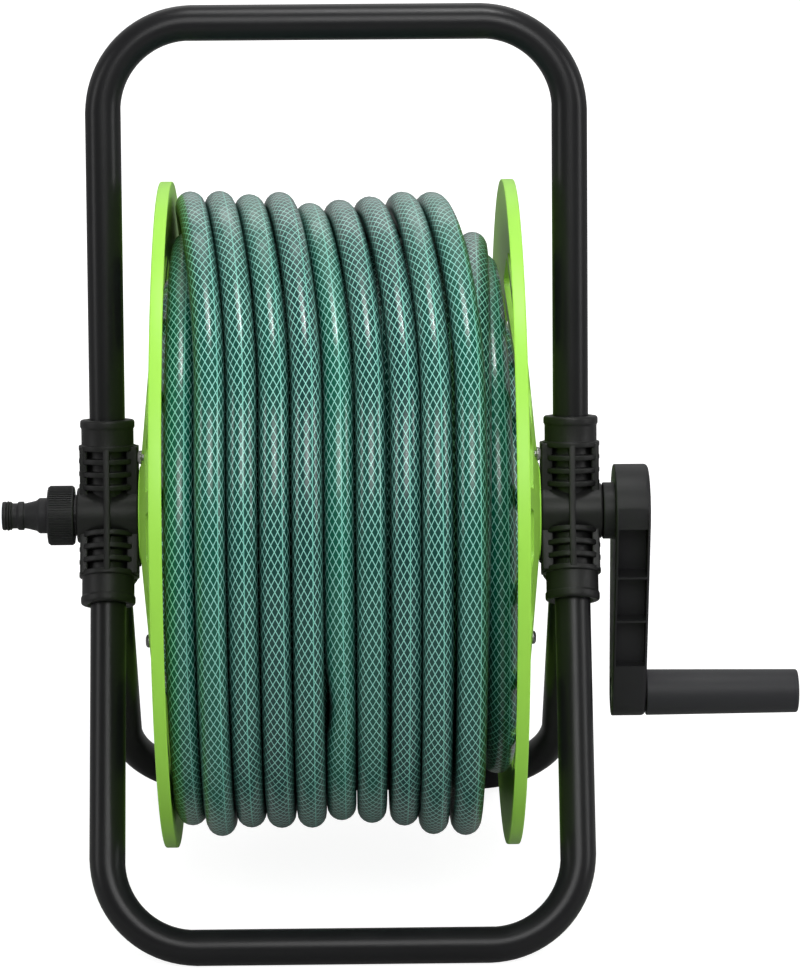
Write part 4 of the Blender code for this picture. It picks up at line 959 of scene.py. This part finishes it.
# Top of a screw's head and the way that it faces: out along the axle, or square out of its tube
def screwPlace(node):
    points = pointsOf(node)
    middle = Vector(points.mean(axis=0)) - axle
    way = Vector((math.copysign(1, middle.x), 0, 0))
    if node.startswith("bracket"):
        spread = []
        for tube in leans:
            along = leanOf(tube) @ Vector((0, 0, 1))
            flat = Vector((0, middle.y, middle.z))
            spread.append((flat.dot(along), flat - along * flat.dot(along)))
        way = max(spread, key=lambda pair: pair[0])[1].normalized()
    top = max(Vector(point).dot(way) for point in points) - axle.dot(way)
    return middle + way * (top - middle.dot(way)), way


def makeScrews():
    gathered = {}
    for kind, sizes in screwKinds.items():
        nodes = [f"{kind}_{index + 1}" for index in range(sizes["count"])] or [kind]
        shape = screwShape(sizes["length"], headSizes if sizes["count"] else crankHeadSizes)
        copies = copiesAt(shape, [screwPlace(node) for node in nodes], zincSteel)
        meshes, names = gathered.setdefault(sizes["body"], ([], []))
        meshes.append(copies)
        names += nodes
    for body, (meshes, names) in gathered.items():
        addPiece(body + "Screws", joined(meshes), zincSteel, body, *names, sharp=35)


makeScrews()
print("screws driven")


# Hose: one tube from the elbow inside the barrel through every layer to the free end
hoseSizes = {"diameter": 0.0156, "pitch": 0.0162, "turns": 10, "first": -0.0802, "radius": 0.1622,
             "under": 0.0190, "endX": 0.0760, "cross": (-30, 52), "climb": (12, 102), "underStart": -240,
             "tailStart": 205, "lastDrift": 55, "exitX": 0.084, "exitZ": 0.0403, "innerRadius": 0.0837,
             "innerLayers": 3, "innerClimb": 70, "flangeGap": 0.0012, "easedOver": 9, "rise": 0.006,
             "risePull": 0.07, "join": 19, "joinPull": 0.085, "entrySteps": 10, "tailSteps": 16,
             "couplingGap": 0.0003, "sides": 20, "stepsOutside": 96, "stepsInside": 48}
# Places and radii of the turns that show beside the right flange: end of layer 4, start of layer 5
sideTurns = {"deep": (0.0843, 0.1308), "upper": (0.0775, 0.1422)}
# How the outer turns really lie, in mm: further out or in at the top and at the bottom, and along the axle
turnLies = {"top": (0, 2.9, 2.9, 1.1, 2.2, -3.9, -2.2, -0.6, 1.8, 1.5),
            "bottom": (-3.9, 2.1, -2.5, -2.0, -2.0, -5.7, -4.1, -2.5, 2.3, 3.0),
            "along": (0.4, -0.2, -0.6, -0.8, -0.8, -1.2, -1.3, -0.2, -0.9, 0)}
# Where the sixth turn is nipped in at its left side, in degrees from the top of the first turn
pinch = {"angle": 5 * 360 + 109, "width": 7, "shift": 0.0014, "squeeze": 0.17}


def smooth(value):
    value = min(max(value, 0.0), 1.0)
    return value * value * (3 - 2 * value)


def outerPlace(angle, sizes):
    crossStart, crossEnd = (math.radians(part) for part in sizes["cross"])
    climbStart, climbEnd = (math.radians(part) for part in sizes["climb"])
    turn, within = divmod(angle - crossStart, math.tau)
    crossing = smooth(within / (crossEnd - crossStart)) if turn >= 1 else 1.0
    progress = max(turn - 1 + crossing, 0)
    place = sizes["first"] + sizes["pitch"] * progress
    radius = sizes["radius"] - sizes["under"] * (1 - smooth((angle - climbStart) / (climbEnd - climbStart)))
    last = (sizes["turns"] - 1) * math.tau
    drift = sizes["endX"] - (sizes["first"] + sizes["pitch"] * (sizes["turns"] - 1))
    place += drift * smooth((angle - last - math.pi) / math.radians(sizes["lastDrift"]))
    place += float(np.interp(progress, range(sizes["turns"]), turnLies["along"])) / 1000
    lies = [lie for pair in zip(turnLies["top"], turnLies["bottom"]) for lie in pair]
    half, share = divmod(max(angle / math.pi, 0), 1)
    before, after = (lies[min(int(half) + step, len(lies) - 1)] for step in (0, 1))
    radius += (before + (after - before) * smooth(share)) / 1000 if angle > 0 else 0
    nip = math.exp(-((math.degrees(angle) - pinch["angle"]) / pinch["width"]) ** 2)
    return place + nip * pinch["shift"], radius, nip * pinch["squeeze"]


# Inner layers, as (angle, place, radius) knots, worked back from where the outer layer starts
def innerKnots(sizes):
    knots = []
    angle = math.radians(sizes["underStart"])
    place, radius, nip = outerPlace(angle, sizes)
    gap = (sideTurns["deep"][1] - sizes["innerRadius"]) / sizes["innerLayers"]
    layers = [(sideTurns["upper"], (place, radius))]
    for index in range(sizes["innerLayers"] + 1):
        height = sideTurns["deep"][1] - gap * index
        reach = dishInside(height) - sizes["diameter"] / 2 - sizes["flangeGap"]
        start, end = (-reach, reach) if index % 2 == 0 else (reach, -reach)
        layers.append(((start, height), (end, height)))
    layers[1] = (layers[1][0], sideTurns["deep"])
    layers[-1] = ((sizes["exitX"], layers[-1][0][1]), layers[-1][1])
    for (startX, startR), (endX, endR) in layers:
        knots.append((angle, endX, endR))
        angle -= abs(endX - startX) / sizes["pitch"] * math.tau
        knots.append((angle, startX, startR))
        angle -= math.radians(sizes["innerClimb"])
    return knots[::-1]


def routePoints(sizes):
    knots = np.array(innerKnots(sizes))
    stepIn, stepOut = math.tau / sizes["stepsInside"], math.tau / sizes["stepsOutside"]
    join, over = math.radians(sizes["underStart"]), sizes["easedOver"]
    angles = np.arange(knots[0, 0], join, stepIn)
    inner = []
    for column in (1, 2):
        values = np.pad(np.interp(angles, knots[:, 0], knots[:, column]), over // 2, mode="edge")
        inner.append(np.convolve(values, np.ones(over) / over, "valid"))
    lastAngle = (sizes["turns"] - 1) * math.tau + math.radians(sizes["tailStart"])
    outerAngles = np.arange(join, lastAngle, stepOut)
    outer = np.array([outerPlace(angle, sizes) for angle in outerAngles]).T
    allAngles = np.concatenate([angles, outerAngles])
    x, radius = (np.concatenate(pair) for pair in zip(inner, outer))
    wound = np.stack([x, -radius * np.sin(allAngles), radius * np.cos(allAngles)], 1)
    nips = [0.0] * len(angles) + outer[2].tolist()
    return [Vector(point) for point in wound], nips


def eased(start, startWay, end, endWay, count):
    points = []
    for index in range(1, count + 1):
        t = index / count
        points.append((2 * t ** 3 - 3 * t ** 2 + 1) * start + (t ** 3 - 2 * t ** 2 + t) * startWay
                      + (3 * t ** 2 - 2 * t ** 3) * end + (t ** 3 - t ** 2) * endWay)
    return points


# The hose's points, from the elbow to the foot of the coupling, and how much it is squeezed at each
def hoseRoute(sizes, foot):
    wound, nips = routePoints(sizes)
    mouth = Vector((sizes["exitX"], 0, sizes["exitZ"]))
    rise = mouth + Vector((0, 0, sizes["rise"]))
    join = sizes["join"]  # the point of the first turn that the hose runs into from the elbow
    joinWay = (wound[join + 1] - wound[join]).normalized() * sizes["joinPull"]
    entry = eased(rise, Vector((0, 0, sizes["risePull"])), wound[join], joinWay, sizes["entrySteps"])
    end = foot - Vector((0, 0, sizes["couplingGap"]))
    straight = end - Vector((0, 0, sizes["diameter"]))
    gap = (straight - wound[-1]).length
    lastWay = (wound[-1] - wound[-2]).normalized() * gap
    tail = eased(wound[-1], lastWay, straight, Vector((0, 0, gap)), sizes["tailSteps"])
    squeezes = [0.0] * (2 + len(entry)) + nips[join + 1:] + [0.0] * (len(tail) + 1)
    return [mouth, rise] + entry + wound[join + 1:] + tail + [end], squeezes


def makeHose(sizes, foot):
    route, squeezes = hoseRoute(sizes, foot)
    points = np.array([tuple(point) for point in route])
    ahead = np.gradient(points, axis=0)
    ahead /= np.linalg.norm(ahead, axis=1)[:, None]
    across = np.array([1.0, 0, 0]) - ahead * ahead[:, :1]
    across /= np.linalg.norm(across, axis=1)[:, None]
    outwards = np.cross(ahead, across)
    sides, count = sizes["sides"], len(points)
    turn = np.arange(sides) * math.tau / sides
    across *= 1 - np.array(squeezes)[:, None]
    ring = across[:, None] * np.cos(turn)[None, :, None] + outwards[:, None] * np.sin(turn)[None, :, None]
    corners = (points[:, None] + ring * sizes["diameter"] / 2).reshape(-1, 3)
    row, column = np.meshgrid(np.arange(count - 1), np.arange(sides), indexing="ij")
    after = (column + 1) % sides
    here, ahead = row * sides, (row + 1) * sides
    quads = np.stack([here + column, here + after, ahead + after, ahead + column], -1)
    faces = [tuple(face) for face in quads.reshape(-1, 4).tolist()]
    faces += [tuple(range(sides))[::-1], tuple(range((count - 1) * sides, count * sides))]
    mesh = bpy.data.meshes.new("hose")
    mesh.from_pydata(corners.tolist(), [], faces)
    along = np.concatenate([[0], np.cumsum(np.linalg.norm(np.diff(points, axis=0), axis=1))])
    u = np.stack([along[row], along[row], along[row + 1], along[row + 1]], -1)
    v = np.stack([column, column + 1, column + 1, column], -1) / sides
    flat = np.zeros((sum(len(face) for face in faces), 2), np.float32)
    flat[:u.size] = np.stack([u.ravel(), v.ravel()], 1)
    flat[u.size:] = (0.0, 0.5)
    layer = mesh.uv_layers.new(name="hoseUv")
    layer.data.foreach_set("uv", flat.ravel())
    mesh.update()
    length = float(along[-1])
    print(f"hose of {length:.2f} m in {count} rings")
    return mesh, [tuple(point + axle) for point in route], length


# Coupling on the free end: a ribbed nut and a bell-mouthed body, made along X and stood up
couplingSizes = {"radius": 0.012, "nutLength": 0.016, "nutCore": 0.0112, "nutBore": 0.0085, "grips": 20,
                 "gripWidth": 0.0014, "gripInset": 0.0016, "gripRound": 0.0002, "bodyLength": 0.030,
                 "neck": 0.0098, "neckEnd": 0.0040, "bell": 0.0058, "waist": 0.0106, "mouth": 0.0085,
                 "mouthDepth": 0.019, "bore": 0.0045, "gap": 0.0003}


def makeCouplingNut(sizes):
    corners = [(0, "nutBore", 0.0003), (0, "nutCore", 0.0012), ("nutLength", "nutCore", 0.0012),
               ("nutLength", "nutBore", 0.0003)]
    body = lathe(sizes, corners, closed=True)
    half, top, inset = sizes["gripWidth"] / 2, sizes["radius"], sizes["gripInset"]
    foot = sizes["nutCore"] - 0.0004
    outline = [(-half, foot), (half, foot), (half * 0.6, top), (-half * 0.6, top)]
    gripRib = bevelled(extruded(outline, inset, sizes["nutLength"] - inset), sizes["gripRound"])
    return alongZ(joined([body, ringOfCopies(gripRib, sizes["grips"])]))


def makeCouplingBody(sizes):
    length, floor = sizes["bodyLength"], sizes["bodyLength"] - sizes["mouthDepth"]
    corners = [(0, "bore", 0), (0, "neck", 0.0004), ("neckEnd", "neck", 0.0008), ("bell", "radius", 0.0010),
               (length * 0.34, "radius", 0.0020), (length * 0.53, "waist", 0.0040),
               (length * 0.78, "radius", 0.0020), (length, "radius", 0.0012), (length, "mouth", 0.0008),
               (floor, "mouth", 0.0004), (floor, "bore", 0.0004)]
    return alongZ(lathe(sizes, corners, steps=5, closed=True))


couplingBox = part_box("coupling_nut")
couplingFoot = (couplingBox[0] + couplingBox[1]) / 2 - axle
couplingFoot.z = couplingBox[0].z - axle.z
couplingTop = couplingFoot + Vector((0, 0, couplingSizes["nutLength"] + couplingSizes["gap"]))
couplingNut = addPiece("couplingNut", makeCouplingNut(couplingSizes), gripPlastic, "drum", "coupling_nut",
                       place=couplingFoot)
hoseCoupling = addPiece("hoseCoupling", makeCouplingBody(couplingSizes), crankPlastic, "drum",
                        "hose_coupling", place=couplingTop)

hoseMesh, hosePath, hoseLength = makeHose(hoseSizes, couplingFoot)
hose = addPiece("hose", hoseMesh, hoseBraid, "drum", "hose_tail", "hose_inner_layers", "hose_outer_turns",
                sharp=60)
print("hose wound and coupled")


# The CAD nodes that stay get their finishes
stayingFinishes = {"black_plastic": bracketPlastic, "grip_plastic": gripPlastic, "lime_plastic": limePlastic,
                   "zinc_steel": zincSteel, "seal_rubber": sealRubber, "powder_coat": powderCoat}
for name, node in frame["nodes"].items():
    if not node.hide_render and slotOfNode[name] in stayingFinishes:
        node.data.materials.clear()
        node.data.materials.append(stayingFinishes[slotOfNode[name]])
        print("kept", name)
print("nodes finished")
